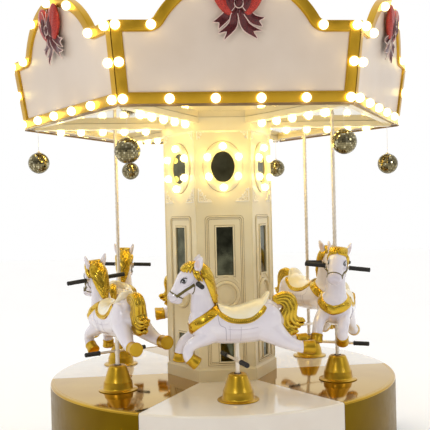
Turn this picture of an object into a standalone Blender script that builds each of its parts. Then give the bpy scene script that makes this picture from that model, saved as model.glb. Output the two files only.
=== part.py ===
# Small fairground carousel with six galloping horses: a turning drum and deck, a mirrored column
# and a six-sided canopy of lit boards. Metres, +Z up, the floor at z = 0, the front towards -Y.

import math

import bmesh
import bpy
from mathutils import Matrix, Vector

for old in list(bpy.data.objects):
    bpy.data.objects.remove(old)

# Driving dimensions
SIDES = 6
GAP = 0.0003                    # seat between pieces that touch
RUNNING_CLEARANCE = 0.0006      # pole in its bell
DECK_Z = 0.400                  # top of the deck above the floor
DECK_RADIUS = 1.120
DECK_EDGE_ROUND = 0.012
DRUM_BOTTOM_Z = 0.030
PLINTH_RADIUS = 1.000
PLINTH_THICKNESS = 0.020
TURNING_RING_RADII = (0.780, 0.860)

COLUMN_RADIUS = 0.353           # corner radius of the six-sided column
COLUMN_MOULDING = 0.012         # how far the base board and the collar stand out
BASE_BOARD_HEIGHT = 0.071
COLLAR_HEIGHT = 0.045

CANOPY_CORNER_RADIUS = 1.250    # at the bottom edge of the boards
CANOPY_TOP_RADIUS = 1.316       # at the flat top edge of the boards
BOARD_BOTTOM_Z = 2.026
BOARD_HEIGHT = 0.421            # vertical, to the flat top edge
ARCH_HALF_CHORD = 0.441
ARCH_RISE = 0.259               # along the slope, above the flat top edge
ARCH_FILLET = 0.040
BOARD_THICKNESS = 0.040
FRAME_WIDTH = 0.055
FRAME_DEPTH = 0.014
RIM_WIDTH = 0.045
RIM_HEIGHT = 0.024
BEAM_WIDTH = 0.060
BEAM_DEPTH = 0.038
HUB_RADIUS = 0.362
CEILING_THICKNESS = 0.006
ROOF_EAVES_Z = 2.345
ROOF_BAND = 0.030
ROOF_TOP_Z = 2.600
ROOF_TOP_RADIUS = 0.120
ROOF_SHELL = 0.012

HORSE_CIRCLE = 0.785            # radius of the ring of poles
POLE_RADIUS = 0.0125
POLE_SIDES = 12
POLE_FOOT = 0.058               # pole end above the deck, inside the bell
POLE_TOP_SHORT = 0.500          # ends inside the saddle of the two front horses
POLE_TOP_LONG = 1.775           # ends above the ceiling
CEILING_HOLE = 0.018
FOOT_BAR_HEIGHT = 0.231
FOOT_BAR_AHEAD = 0.018          # it runs across the front of the pole
FRONT_BAR_TURN = 13.0           # degrees, the bar of the front horse has swung round its pole
FRONT_HAND_TURN = 9.0           # degrees, its handlebar sits askew as well
FOOT_BAR_RADIUS = 0.008
FOOT_BAR_HALF = 0.205
FOOT_GRIP_LENGTH = 0.095
GRIP_RADIUS = 0.014
HAND_BAR_PLACE = (0.222, 0.668)  # forward of the pole, above the deck
HAND_BAR_RADIUS = 0.009
HAND_BAR_HALF = 0.195
HAND_GRIP_LENGTH = 0.125
BELL_HEIGHT = 0.150

MIRROR_BALL_RADIUS = 0.068
THREAD_RADIUS = 0.0015
THREAD_EYE_RADIUS = 0.004
BALL_CORNER_RADIUS = 1.165      # where the threads hang

PLACES = ("front", "front_right", "back_right", "back", "back_left", "front_left")
CORNERS = ("front_right", "right", "back_right", "back_left", "left", "front_left")
LONG_POLES = ("front_right", "back_right", "back", "back_left")
HORSE_SEATS = {                 # degrees: nose to the outside, nose up, lean to the outside; metres up the pole
    "front": (0.0, 0.0, 2.0, 0.0),
    "front_right": (10.0, 8.5, 6.0, 0.016),
    "back_right": (-5.0, -0.5, 3.5, 0.020),
    "back": (0.0, 1.0, 3.0, 0.0),
    "back_left": (22.0, 3.0, -2.0, 0.012),
    "front_left": (-2.5, -2.5, 5.0, 0.0),
}
TILT_HEIGHT = 0.430
BALL_DROPS = {                  # centre of each ball below the rim
    "front_left": 0.234,
    "front_right": 0.203,
    "right": 0.268,
    "back_right": 0.230,
    "back_left": 0.230,
    "left": 0.223,
}

# Worked out from them
APOTHEM = math.cos(math.pi / SIDES)
BOARD_LEAN = math.atan((CANOPY_TOP_RADIUS - CANOPY_CORNER_RADIUS) * APOTHEM / BOARD_HEIGHT)
BOARD_SLOPE = BOARD_HEIGHT / math.cos(BOARD_LEAN)
BOARD_FOOT = CANOPY_CORNER_RADIUS * APOTHEM
CEILING_Z = BOARD_BOTTOM_Z + RIM_HEIGHT
BEAM_BOTTOM_Z = CEILING_Z - BEAM_DEPTH
COLUMN_TOP_Z = BEAM_BOTTOM_Z - GAP


def board_back(height):
    """Distance from the axis to the back of a board at this height."""
    rise = (height - BOARD_BOTTOM_Z) * math.tan(BOARD_LEAN)
    return BOARD_FOOT + rise - BOARD_THICKNESS / math.cos(BOARD_LEAN)


def material(name, colour, roughness, metallic=0.0):
    made = bpy.data.materials.new(name)
    made.use_nodes = True
    shader = made.node_tree.nodes["Principled BSDF"]
    shader.inputs["Base Color"].default_value = (*colour, 1.0)
    shader.inputs["Roughness"].default_value = roughness
    shader.inputs["Metallic"].default_value = metallic
    return made


WHITE = material("white_gloss", (0.84, 0.80, 0.74), 0.15)
GOLD = material("gold_paint", (0.52, 0.28, 0.03), 0.25, 0.8)
CREAM = material("cream_moulding", (0.80, 0.70, 0.54), 0.35)
MIRROR = material("mirror", (0.85, 0.87, 0.88), 0.03, 1.0)
STEEL = material("polished_steel", (0.60, 0.58, 0.55), 0.20, 1.0)
LACQUER = material("horse_lacquer", (0.80, 0.76, 0.80), 0.12)
GRIP = material("black_rubber", (0.01, 0.01, 0.01), 0.70)
BOW_RED = material("red_foil", (0.43, 0.01, 0.01), 0.35, 0.3)
GREY = material("grey_steel", (0.20, 0.20, 0.20), 0.50, 0.7)


def mesh_from(work, name):
    bmesh.ops.recalc_face_normals(work, faces=work.faces)
    mesh = bpy.data.meshes.new(name)
    work.to_mesh(mesh)
    work.free()
    return mesh


def add_object(name, mesh, paint, parent=None, spin=0.0):
    """Add an object, shaded smooth except at its sharp edges."""
    made = bpy.data.objects.new(name, mesh)
    bpy.context.collection.objects.link(made)
    if paint.name not in mesh.materials:
        mesh.materials.append(paint)
    mesh.shade_smooth()
    mesh.set_sharp_from_angle(angle=math.radians(35))
    made.rotation_euler.z = spin
    made.parent = parent
    return made


def combined(name, first, others, operation="UNION"):
    """Join meshes into one closed body, or cut the others from the first."""
    helpers = [bpy.data.objects.new(name + "_part", mesh) for mesh in (first, *others)]
    for helper in helpers:
        bpy.context.collection.objects.link(helper)
        helper.hide_render = True
        helper.display_type = "WIRE"
    body = helpers[0]
    for helper in helpers[1:]:
        step = body.modifiers.new("step", "BOOLEAN")
        step.operation = operation
        step.object = helper
    depsgraph = bpy.context.evaluated_depsgraph_get()
    mesh = bpy.data.meshes.new_from_object(body.evaluated_get(depsgraph))
    mesh.name = name
    for helper in helpers:
        bpy.data.objects.remove(helper)
    return mesh


def turned(name, profile, segments):
    """Spin a profile of (radius, height) about Z into a closed body."""
    work = bmesh.new()
    points = [work.verts.new((radius, 0.0, height)) for radius, height in profile]
    edges = [work.edges.new(pair) for pair in zip(points, points[1:])]
    closed = profile[0][0] > 0.0 and profile[-1][0] > 0.0
    if closed:
        edges.append(work.edges.new((points[-1], points[0])))
    bmesh.ops.spin(work, geom=points + edges, axis=(0, 0, 1), cent=(0, 0, 0),
                   steps=segments, angle=math.tau, use_merge=True)
    bmesh.ops.remove_doubles(work, verts=work.verts, dist=1e-6)
    return mesh_from(work, name)


def prism(name, outline, low, high):
    """Extrude an outline of (x, y) between two heights."""
    work = bmesh.new()
    face = work.faces.new([work.verts.new((x, y, low)) for x, y in outline])
    top = bmesh.ops.extrude_face_region(work, geom=[face])["geom"]
    lifted = [item for item in top if isinstance(item, bmesh.types.BMVert)]
    bmesh.ops.translate(work, verts=lifted, vec=(0, 0, high - low))
    return mesh_from(work, name)


def box(name, low, high):
    outline = ((low[0], low[1]), (high[0], low[1]), (high[0], high[1]), (low[0], high[1]))
    return prism(name, outline, low[2], high[2])


def hexagon(radius):
    """Six corners, with a flat side towards -Y."""
    angles = [math.tau * side / SIDES for side in range(SIDES)]
    return [(radius * math.cos(angle), radius * math.sin(angle)) for angle in angles]


def six_sided(name, levels):
    """Stack hexagons of (corner radius, height) into a closed body; a level may step inwards again."""
    work = bmesh.new()
    rings = []
    for radius, height in levels:
        corners = [work.verts.new((x, y, height)) for x, y in hexagon(radius)]
        rings.append([work.edges.new((corners[i], corners[(i + 1) % SIDES])) for i in range(SIDES)])
    for lower, upper in zip(rings, rings[1:]):
        bmesh.ops.bridge_loops(work, edges=lower + upper)
    bmesh.ops.contextual_create(work, geom=rings[0])
    bmesh.ops.contextual_create(work, geom=rings[-1])
    return mesh_from(work, name)


def loft(name, stations, sides):
    """A limb through stations of (x, y, z, half depth, half width): a skin over elliptical rings."""
    work = bmesh.new()
    centres = [Vector(station[:3]) for station in stations]
    rings = []
    for place, station in enumerate(stations):
        before = centres[max(place - 1, 0)]
        after = centres[min(place + 1, len(centres) - 1)]
        along = (after - before).normalized()
        depth = along.cross(Vector((0, 1, 0))).normalized()
        width = depth.cross(along)
        axes = Matrix((depth * station[3], width * station[4], along)).transposed().to_4x4()
        ring = bmesh.ops.create_circle(work, segments=sides, radius=1.0,
                                       matrix=Matrix.Translation(centres[place]) @ axes)["verts"]
        rings.append([edge for edge in work.edges if all(vert in ring for vert in edge.verts)])
    for lower, upper in zip(rings, rings[1:]):
        bmesh.ops.bridge_loops(work, edges=lower + upper)
    bmesh.ops.contextual_create(work, geom=rings[0])
    bmesh.ops.contextual_create(work, geom=rings[-1])
    return mesh_from(work, name)


def rod(name, start, end, radius, sides):
    """A straight round bar between two points."""
    start = Vector(start)
    end = Vector(end)
    along = end - start
    work = bmesh.new()
    place = Matrix.Translation((start + end) / 2) @ along.to_track_quat("Z", "Y").to_matrix().to_4x4()
    bmesh.ops.create_cone(work, cap_ends=True, segments=sides, radius1=radius, radius2=radius,
                          depth=along.length, matrix=place)
    return mesh_from(work, name)


# Plinth and drum
def make_plinth():
    inner, outer = TURNING_RING_RADII
    ring_top = DRUM_BOTTOM_Z - GAP
    chamfer = 0.005
    profile = [
        (0.0, 0.0),
        (PLINTH_RADIUS, 0.0),
        (PLINTH_RADIUS, PLINTH_THICKNESS - chamfer),
        (PLINTH_RADIUS - chamfer, PLINTH_THICKNESS),
        (outer, PLINTH_THICKNESS),
        (outer, ring_top),
        (inner, ring_top),
        (inner, PLINTH_THICKNESS),
        (0.0, PLINTH_THICKNESS),
    ]
    add_object("base_plinth", turned("base_plinth", profile, 32), GREY)


def make_drum(turntable):
    """Six sectors, each the deck and its skirt in one moulding."""
    half = math.pi / SIDES
    shift = GAP / 2 / math.sin(half)    # each sector lies this far out, clear of its neighbours
    arc_steps = 8
    outline = [(0.0, -shift)]
    for step in range(arc_steps + 1):
        angle = -math.pi / 2 - half + 2 * half * step / arc_steps
        outline.append((DECK_RADIUS * math.cos(angle), DECK_RADIUS * math.sin(angle) - shift))
    work = bmesh.new()
    face = work.faces.new([work.verts.new((x, y, DRUM_BOTTOM_Z)) for x, y in outline])
    top = bmesh.ops.extrude_face_region(work, geom=[face])["geom"]
    lifted = [item for item in top if isinstance(item, bmesh.types.BMVert)]
    bmesh.ops.translate(work, verts=lifted, vec=(0, 0, DECK_Z - DRUM_BOTTOM_Z))
    rim = []
    for edge in work.edges:
        ends = [vert.co for vert in edge.verts]
        if all(end.z > DECK_Z - 1e-5 and end.xy.length > DECK_RADIUS * 0.95 for end in ends):
            rim.append(edge)
    bmesh.ops.bevel(work, geom=rim, offset=DECK_EDGE_ROUND, segments=2, affect="EDGES",
                    profile=0.5, material=-1, clamp_overlap=True)
    mesh = mesh_from(work, "drum_sector")
    for number, place in enumerate(PLACES):
        copy = mesh.copy()
        copy.materials.clear()
        paint = WHITE if number % 2 == 0 else GOLD
        add_object("drum_sector_" + place, copy, paint, turntable, number * math.tau / SIDES)


# Bells over the pole ends
def make_bells(turntable):
    bore = POLE_RADIUS + RUNNING_CLEARANCE
    profile = [
        (bore, 0.0),
        (0.118, 0.0),
        (0.118, 0.005),
        (0.091, 0.012),
        (0.087, 0.035),
        (0.076, 0.078),
        (0.056, 0.138),
        (0.045, BELL_HEIGHT),
        (bore, BELL_HEIGHT),
    ]
    mesh = turned("bell", profile, 2 * POLE_SIDES)
    for number, place in enumerate(PLACES):
        bell = add_object("bell_" + place, mesh, GOLD, turntable)
        angle = -math.pi / 2 + number * math.tau / SIDES
        bell.location = (HORSE_CIRCLE * math.cos(angle), HORSE_CIRCLE * math.sin(angle), DECK_Z + GAP)
        bell.rotation_euler.z = angle


# Column
def column_recesses():
    """Cutters for one face: the oval mirror, the tall mirror, the medallion and the low mirror."""
    depth = 0.008
    face = COLUMN_RADIUS * APOTHEM
    oval = []
    for step in range(12):
        angle = math.tau * step / 12
        oval.append((0.077 * math.cos(angle), 1.340 + 0.100 * math.sin(angle)))
    tall = [(-0.052, 0.661), (0.052, 0.661), (0.052, 0.963), (-0.052, 0.963)]
    disc = []
    for step in range(8):
        angle = math.tau * (step + 0.5) / 8
        disc.append((0.052 * math.cos(angle), 0.538 + 0.052 * math.sin(angle)))
    low = [(-0.042, 0.122), (0.042, 0.122), (0.042, 0.288), (-0.042, 0.288)]
    cutters = []
    for outline in (oval, tall, disc, low):
        cutter = prism("recess", outline, -0.01, depth)
        to_face = Matrix(((1, 0, 0, 0), (0, 0, 1, -face), (0, 1, 0, DECK_Z), (0, 0, 0, 1)))
        cutter.transform(to_face)
        cutter.flip_normals()
        cutters.append(cutter)
    return cutters


def make_column(turntable):
    wide = COLUMN_RADIUS + COLUMN_MOULDING
    foot = DECK_Z + GAP
    board = DECK_Z + BASE_BOARD_HEIGHT
    collar = COLUMN_TOP_Z - COLLAR_HEIGHT
    levels = [
        (wide, foot),
        (wide, board),
        (COLUMN_RADIUS, board + COLUMN_MOULDING),
        (COLUMN_RADIUS, collar - COLUMN_MOULDING),
        (wide, collar),
        (wide, COLUMN_TOP_Z),
    ]
    shaft = six_sided("column", levels)
    cutters = []
    for side in range(SIDES):
        for cutter in column_recesses():
            cutter.transform(Matrix.Rotation(side * math.tau / SIDES, 4, "Z"))
            cutters.append(cutter)
    add_object("column", combined("column", shaft, cutters, "DIFFERENCE"), CREAM, turntable)


# Canopy frame, ceiling and roof
def make_canopy_frame(turntable):
    outer = (board_back(BOARD_BOTTOM_Z) - GAP) / APOTHEM
    inner = outer - RIM_WIDTH / APOTHEM
    rim_body = prism("rim", hexagon(outer), BOARD_BOTTOM_Z, CEILING_Z)
    middle = prism("middle", hexagon(inner), BOARD_BOTTOM_Z - 0.01, CEILING_Z + 0.01)
    rim = combined("rim", rim_body, [middle], "DIFFERENCE")
    hub = prism("hub", hexagon(HUB_RADIUS), BEAM_BOTTOM_Z, CEILING_Z - 0.0005)
    beams = []
    for side in range(SIDES):
        beam = box("beam", (0.30, -BEAM_WIDTH / 2, BEAM_BOTTOM_Z), (outer - 0.02, BEAM_WIDTH / 2, CEILING_Z - 0.001))
        beam.transform(Matrix.Rotation(side * math.tau / SIDES, 4, "Z"))
        beams.append(beam)
    mesh = combined("canopy_frame", rim, [hub, *beams])
    add_object("canopy_frame", mesh, CREAM, turntable)


def make_ceiling(turntable):
    low = CEILING_Z + GAP
    plate = prism("plate", hexagon((board_back(low) - 2 * GAP) / APOTHEM), low, low + CEILING_THICKNESS)
    holes = []
    for number, place in enumerate(PLACES):
        if place in LONG_POLES:
            angle = -math.pi / 2 + number * math.tau / SIDES
            centre = (HORSE_CIRCLE * math.cos(angle), HORSE_CIRCLE * math.sin(angle))
            holes.append(rod("hole", (*centre, low - 0.02), (*centre, low + 0.03), CEILING_HOLE, POLE_SIDES))
    add_object("ceiling_mirror", combined("ceiling_mirror", plate, holes, "DIFFERENCE"), MIRROR, turntable)


def make_roof(turntable):
    """A low six-sided cover inside the boards, open below."""
    seat = 2 * GAP
    eaves = (board_back(ROOF_EAVES_Z) - seat) / APOTHEM
    band = (board_back(ROOF_EAVES_Z + ROOF_BAND) - seat) / APOTHEM
    levels = [
        (ROOF_TOP_RADIUS - ROOF_SHELL, ROOF_TOP_Z - ROOF_SHELL),
        (eaves - ROOF_SHELL * 2, ROOF_EAVES_Z + ROOF_BAND - ROOF_SHELL),
        (eaves - ROOF_SHELL * 2, ROOF_EAVES_Z),
        (eaves, ROOF_EAVES_Z),
        (band, ROOF_EAVES_Z + ROOF_BAND),
        (ROOF_TOP_RADIUS, ROOF_TOP_Z),
    ]
    add_object("roof", six_sided("roof", levels), CREAM, turntable)


# Rounding boards and bows
def board_outline():
    """Half of the board's edge on its slope, from the bottom middle round to the top of the arch."""
    radius = (ARCH_HALF_CHORD ** 2 + ARCH_RISE ** 2) / (2 * ARCH_RISE)
    centre = BOARD_SLOPE + ARCH_RISE - radius
    below = BOARD_SLOPE + ARCH_FILLET - centre
    across = math.sqrt((radius + ARCH_FILLET) ** 2 - below ** 2)
    meet = math.atan2(below, across)
    half = [(CANOPY_CORNER_RADIUS / 2, 0.0), (CANOPY_TOP_RADIUS / 2, BOARD_SLOPE)]
    fillet_steps = 3
    for step in range(fillet_steps + 1):
        angle = -math.pi / 2 - (math.pi / 2 - meet) * step / fillet_steps
        half.append((across + ARCH_FILLET * math.cos(angle), BOARD_SLOPE + ARCH_FILLET + ARCH_FILLET * math.sin(angle)))
    arch_steps = 7
    for step in range(1, arch_steps + 1):
        angle = meet + (math.pi / 2 - meet) * step / arch_steps
        half.append((radius * math.cos(angle), centre + radius * math.sin(angle)))
    return half


def make_board_mesh():
    """One board lying on its slope: x along the side, y up the slope, z out of the face."""
    half = board_outline()
    outline = half + [(-x, y) for x, y in reversed(half[:-1])]
    work = bmesh.new()
    back = work.faces.new([work.verts.new((x, y, -BOARD_THICKNESS)) for x, y in outline])
    top = bmesh.ops.extrude_face_region(work, geom=[back])["geom"]
    lifted = [item for item in top if isinstance(item, bmesh.types.BMVert)]
    bmesh.ops.translate(work, verts=lifted, vec=(0, 0, BOARD_THICKNESS))
    stand = Matrix.Translation((0, -BOARD_FOOT, BOARD_BOTTOM_Z)) @ Matrix.Rotation(math.pi / 2 + BOARD_LEAN, 4, "X")
    bmesh.ops.transform(work, matrix=stand, verts=work.verts)
    for hand in (-1, 1):
        mitre = Vector((hand * math.cos(math.pi / SIDES), math.sin(math.pi / SIDES), 0.0))
        cut = bmesh.ops.bisect_plane(work, geom=work.verts[:] + work.edges[:] + work.faces[:],
                                     plane_co=mitre * (-GAP / 2), plane_no=mitre, clear_outer=True)
        open_edges = [item for item in cut["geom_cut"] if isinstance(item, bmesh.types.BMEdge)]
        bmesh.ops.contextual_create(work, geom=open_edges)
    bmesh.ops.recalc_face_normals(work, faces=work.faces)
    out = Vector((0, -math.cos(BOARD_LEAN), -math.sin(BOARD_LEAN)))
    front = max(work.faces, key=lambda face: face.calc_area() * (face.normal.dot(out) > 0.99))
    bmesh.ops.inset_region(work, faces=[front], thickness=FRAME_WIDTH, depth=0.0, use_even_offset=True)
    pushed = bmesh.ops.extrude_face_region(work, geom=[front])["geom"]
    moved = [item for item in pushed if isinstance(item, bmesh.types.BMVert)]
    bmesh.ops.translate(work, verts=moved, vec=out * -FRAME_DEPTH)
    if front.is_valid:
        bmesh.ops.delete(work, geom=[front], context="FACES_ONLY")
    return mesh_from(work, "rounding_board")


def make_boards(turntable):
    mesh = make_board_mesh()
    for number, place in enumerate(PLACES):
        add_object("rounding_board_" + place, mesh, WHITE, turntable, number * math.tau / SIDES)


def make_bows(turntable):
    """A ribbon bow: two loops, a knot and two tails, flat against the frame of its board."""
    loop = [(0.012, 0.010), (0.060, 0.130), (0.100, 0.156), (0.132, 0.120), (0.128, 0.050), (0.085, 0.000),
            (0.020, -0.018)]
    tail = [(0.020, -0.018), (0.062, -0.085), (0.108, -0.150), (0.088, -0.158), (0.070, -0.185), (0.040, -0.120),
            (0.008, -0.030)]
    half = [(0.0, 0.030)] + loop + tail[1:]
    outline = half + [(-x, y) for x, y in reversed(half[1:])]
    thickness = 0.030
    mesh = prism("bow", outline, GAP, thickness)
    height_on_slope = 0.530
    lay = Matrix.Translation((0, -BOARD_FOOT, BOARD_BOTTOM_Z)) @ Matrix.Rotation(math.pi / 2 + BOARD_LEAN, 4, "X")
    mesh.transform(lay @ Matrix.Translation((0, height_on_slope, 0)))
    for number, place in enumerate(PLACES):
        add_object("bow_" + place, mesh, BOW_RED, turntable, number * math.tau / SIDES)


# Mirror balls
def make_balls():
    hang_z = BEAM_BOTTOM_Z - THREAD_EYE_RADIUS - GAP
    for number, corner in enumerate(CORNERS):
        angle = -math.pi / 3 + number * math.tau / SIDES
        drop = hang_z - (BOARD_BOTTOM_Z - BALL_DROPS[corner])
        work = bmesh.new()
        bmesh.ops.create_uvsphere(work, u_segments=12, v_segments=7, radius=MIRROR_BALL_RADIUS,
                                  matrix=Matrix.Translation((0, 0, -drop)))
        ball = mesh_from(work, "ball")
        work = bmesh.new()
        bmesh.ops.create_uvsphere(work, u_segments=6, v_segments=4, radius=THREAD_EYE_RADIUS)
        eye = mesh_from(work, "eye")
        thread = rod("thread", (0, 0, -drop + MIRROR_BALL_RADIUS * 0.5), (0, 0, 0), THREAD_RADIUS, 6)
        pivot = bpy.data.objects.new("ball_hang_" + corner, None)
        bpy.context.collection.objects.link(pivot)
        pivot.location = (BALL_CORNER_RADIUS * math.cos(angle), BALL_CORNER_RADIUS * math.sin(angle), hang_z)
        pivot.rotation_euler.z = angle
        add_object("mirror_ball_" + corner, combined("ball", ball, [thread, eye]), MIRROR, pivot)


# Horses: x forward, y to the outside, z above the deck, the pole on the z axis
def horse_casting():
    torso = loft("torso", [
        (-0.260, 0, 0.465, 0.045, 0.040),
        (-0.195, 0, 0.458, 0.107, 0.094),
        (-0.120, 0, 0.440, 0.106, 0.106),
        (0.040, 0, 0.424, 0.100, 0.108),
        (0.160, 0, 0.430, 0.110, 0.100),
        (0.225, 0, 0.425, 0.085, 0.082),
        (0.268, 0, 0.420, 0.040, 0.045),
    ], 8)
    neck = loft("neck", [
        (0.168, 0, 0.430, 0.083, 0.080),
        (0.192, 0, 0.520, 0.067, 0.064),
        (0.194, 0, 0.650, 0.056, 0.048),
        (0.217, 0, 0.745, 0.034, 0.036),
    ], 7)
    head = loft("head", [
        (0.190, 0, 0.730, 0.030, 0.030),
        (0.225, 0, 0.712, 0.060, 0.050),
        (0.265, 0, 0.684, 0.072, 0.056),
        (0.303, 0, 0.640, 0.060, 0.050),
        (0.360, 0, 0.572, 0.040, 0.040),
        (0.379, 0, 0.550, 0.022, 0.024),
    ], 7)
    mane = loft("mane", [
        (0.136, 0, 0.545, 0.012, 0.013),
        (0.138, 0, 0.610, 0.024, 0.030),
        (0.148, 0, 0.680, 0.029, 0.036),
        (0.180, 0, 0.738, 0.033, 0.042),
        (0.228, 0, 0.768, 0.030, 0.044),
        (0.275, 0, 0.768, 0.024, 0.042),
        (0.306, 0, 0.735, 0.012, 0.030),
    ], 6)
    tail = loft("tail", [
        (-0.190, 0, 0.520, 0.022, 0.020),
        (-0.246, 0, 0.560, 0.027, 0.028),
        (-0.300, 0, 0.560, 0.032, 0.036),
        (-0.314, 0, 0.515, 0.033, 0.038),
        (-0.299, 0, 0.468, 0.044, 0.039),
        (-0.296, 0, 0.424, 0.044, 0.036),
        (-0.330, 0, 0.408, 0.027, 0.028),
        (-0.382, 0, 0.426, 0.008, 0.008),
    ], 6)
    tail_end = loft("tail_end", [
        (-0.262, 0, 0.418, 0.026, 0.032),
        (-0.302, 0, 0.384, 0.026, 0.030),
        (-0.346, 0, 0.362, 0.014, 0.018),
    ], 6)
    cantle = loft("cantle", [
        (-0.120, 0, 0.500, 0.026, 0.080),
        (-0.150, 0, 0.555, 0.016, 0.066),
        (-0.176, 0, 0.596, 0.010, 0.045),
    ], 8)
    parts = [neck, head, mane, tail, tail_end, cantle]
    for hand, front_leg in ((1, near_front_leg()), (-1, far_front_leg())):
        for name, stations in (("front_leg", front_leg), ("back_leg", back_leg())):
            parts.append(loft(name, [(x, hand * y, z, deep, wide) for x, y, z, deep, wide in stations], 6))
        parts.append(loft("ear", [
            (0.208, hand * 0.032, 0.750, 0.022, 0.016),
            (0.200, hand * 0.050, 0.785, 0.018, 0.011),
            (0.191, hand * 0.062, 0.814, 0.004, 0.003),
        ], 6))
    return combined("horse", torso, parts)


def near_front_leg():
    return [
        (0.150, 0.050, 0.400, 0.062, 0.045),
        (0.215, 0.064, 0.352, 0.041, 0.038),
        (0.268, 0.071, 0.326, 0.034, 0.034),
        (0.282, 0.072, 0.288, 0.031, 0.031),
        (0.270, 0.072, 0.258, 0.036, 0.034),
        (0.230, 0.072, 0.226, 0.037, 0.036),
    ]


def far_front_leg():
    return [
        (0.150, 0.050, 0.400, 0.062, 0.045),
        (0.245, 0.064, 0.358, 0.041, 0.038),
        (0.300, 0.071, 0.316, 0.034, 0.034),
        (0.318, 0.072, 0.278, 0.031, 0.031),
        (0.318, 0.072, 0.256, 0.035, 0.033),
        (0.325, 0.072, 0.212, 0.037, 0.036),
    ]


def back_leg():
    return [
        (-0.150, 0.052, 0.420, 0.090, 0.058),
        (-0.225, 0.067, 0.364, 0.062, 0.048),
        (-0.285, 0.084, 0.327, 0.042, 0.038),
        (-0.345, 0.096, 0.303, 0.034, 0.034),
        (-0.364, 0.098, 0.302, 0.037, 0.036),
        (-0.422, 0.098, 0.299, 0.040, 0.038),
    ]


def tilt_matrix(place):
    """How the casting sits on its pole."""
    *angles, raised = HORSE_SEATS[place]
    turn, nose_up, lean = [math.radians(angle) for angle in angles]
    about = Matrix.Translation((0, 0, TILT_HEIGHT))
    tilt = Matrix.Rotation(turn, 4, "Z") @ Matrix.Rotation(-lean, 4, "X") @ Matrix.Rotation(-nose_up, 4, "Y")
    return Matrix.Translation((0, 0, raised)) @ about @ tilt @ about.inverted()


def make_horses():
    casting = horse_casting()
    forward, height = HAND_BAR_PLACE
    for number, place in enumerate(PLACES):
        angle = -math.pi / 2 + number * math.tau / SIDES
        slider = bpy.data.objects.new("lift_" + place, None)
        bpy.context.collection.objects.link(slider)
        slider.location = (HORSE_CIRCLE * math.cos(angle), HORSE_CIRCLE * math.sin(angle), DECK_Z)
        slider.rotation_euler.z = angle - math.pi / 2
        tilt = tilt_matrix(place)
        top = POLE_TOP_LONG if place in LONG_POLES else POLE_TOP_SHORT
        bore_top = POLE_TOP_LONG if place in LONG_POLES else POLE_TOP_SHORT + GAP
        bar_hole = rod("hole", (forward, -0.2, height), (forward, 0.2, height), HAND_BAR_RADIUS + GAP, POLE_SIDES)
        bar_hole.transform(bar_turn(place))
        tilted = combined("horse", casting.copy(), [bar_hole], "DIFFERENCE")
        tilted.transform(tilt)
        bore = rod("bore", (0, 0, 0), (0, 0, bore_top), POLE_RADIUS + GAP, POLE_SIDES)
        add_object("horse_" + place, combined("horse", tilted, [bore], "DIFFERENCE"), LACQUER, slider)
        make_pole(place, top, slider)
        make_handlebar(place, tilt, slider)


def make_pole(place, top, slider):
    """The pole with the bar and grips for the feet."""
    pole = rod("pole", (0, 0, POLE_FOOT), (0, 0, top), POLE_RADIUS, POLE_SIDES)
    end = FOOT_BAR_HALF
    across = [rod("bar", (FOOT_BAR_AHEAD, -end + 0.01, FOOT_BAR_HEIGHT), (FOOT_BAR_AHEAD, end - 0.01, FOOT_BAR_HEIGHT),
                  FOOT_BAR_RADIUS, 8)]
    for hand in (-1, 1):
        inner = hand * (end - FOOT_GRIP_LENGTH)
        across.append(rod("grip", (FOOT_BAR_AHEAD, inner, FOOT_BAR_HEIGHT),
                          (FOOT_BAR_AHEAD, hand * end, FOOT_BAR_HEIGHT), GRIP_RADIUS, 10))
    if place == "front":
        for piece in across:
            piece.transform(Matrix.Rotation(math.radians(FRONT_BAR_TURN), 4, "Z"))
    add_object("pole_" + place, combined("pole", pole, across), STEEL, slider)


def bar_turn(place):
    """How the handlebar is turned about the middle of the head."""
    middle = Matrix.Translation((HAND_BAR_PLACE[0], 0, 0))
    turn = math.radians(FRONT_HAND_TURN if place == "front" else 0.0)
    return middle @ Matrix.Rotation(turn, 4, "Z") @ middle.inverted()


def make_handlebar(place, tilt, slider):
    forward, height = HAND_BAR_PLACE
    end = HAND_BAR_HALF
    bar = rod("bar", (forward, -end + 0.01, height), (forward, end - 0.01, height), HAND_BAR_RADIUS, POLE_SIDES)
    grips = []
    for hand in (-1, 1):
        inner = hand * (end - HAND_GRIP_LENGTH)
        grips.append(rod("grip", (forward, inner, height), (forward, hand * end, height), GRIP_RADIUS, 10))
    mesh = combined("handlebar", bar, grips)
    mesh.transform(tilt @ bar_turn(place))
    add_object("handlebar_" + place, mesh, GRIP, slider)


turntable = bpy.data.objects.new("turntable", None)
bpy.context.collection.objects.link(turntable)
make_plinth()
make_drum(turntable)
make_bells(turntable)
make_column(turntable)
make_canopy_frame(turntable)
make_ceiling(turntable)
make_roof(turntable)
make_boards(turntable)
make_bows(turntable)
make_balls()
make_horses()
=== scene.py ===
# Fairground carousel: finishes and fine pieces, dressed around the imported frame
import math
import random

import bmesh
import bpy
from mathutils import Matrix, Vector
from mathutils.bvhtree import BVHTree


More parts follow.
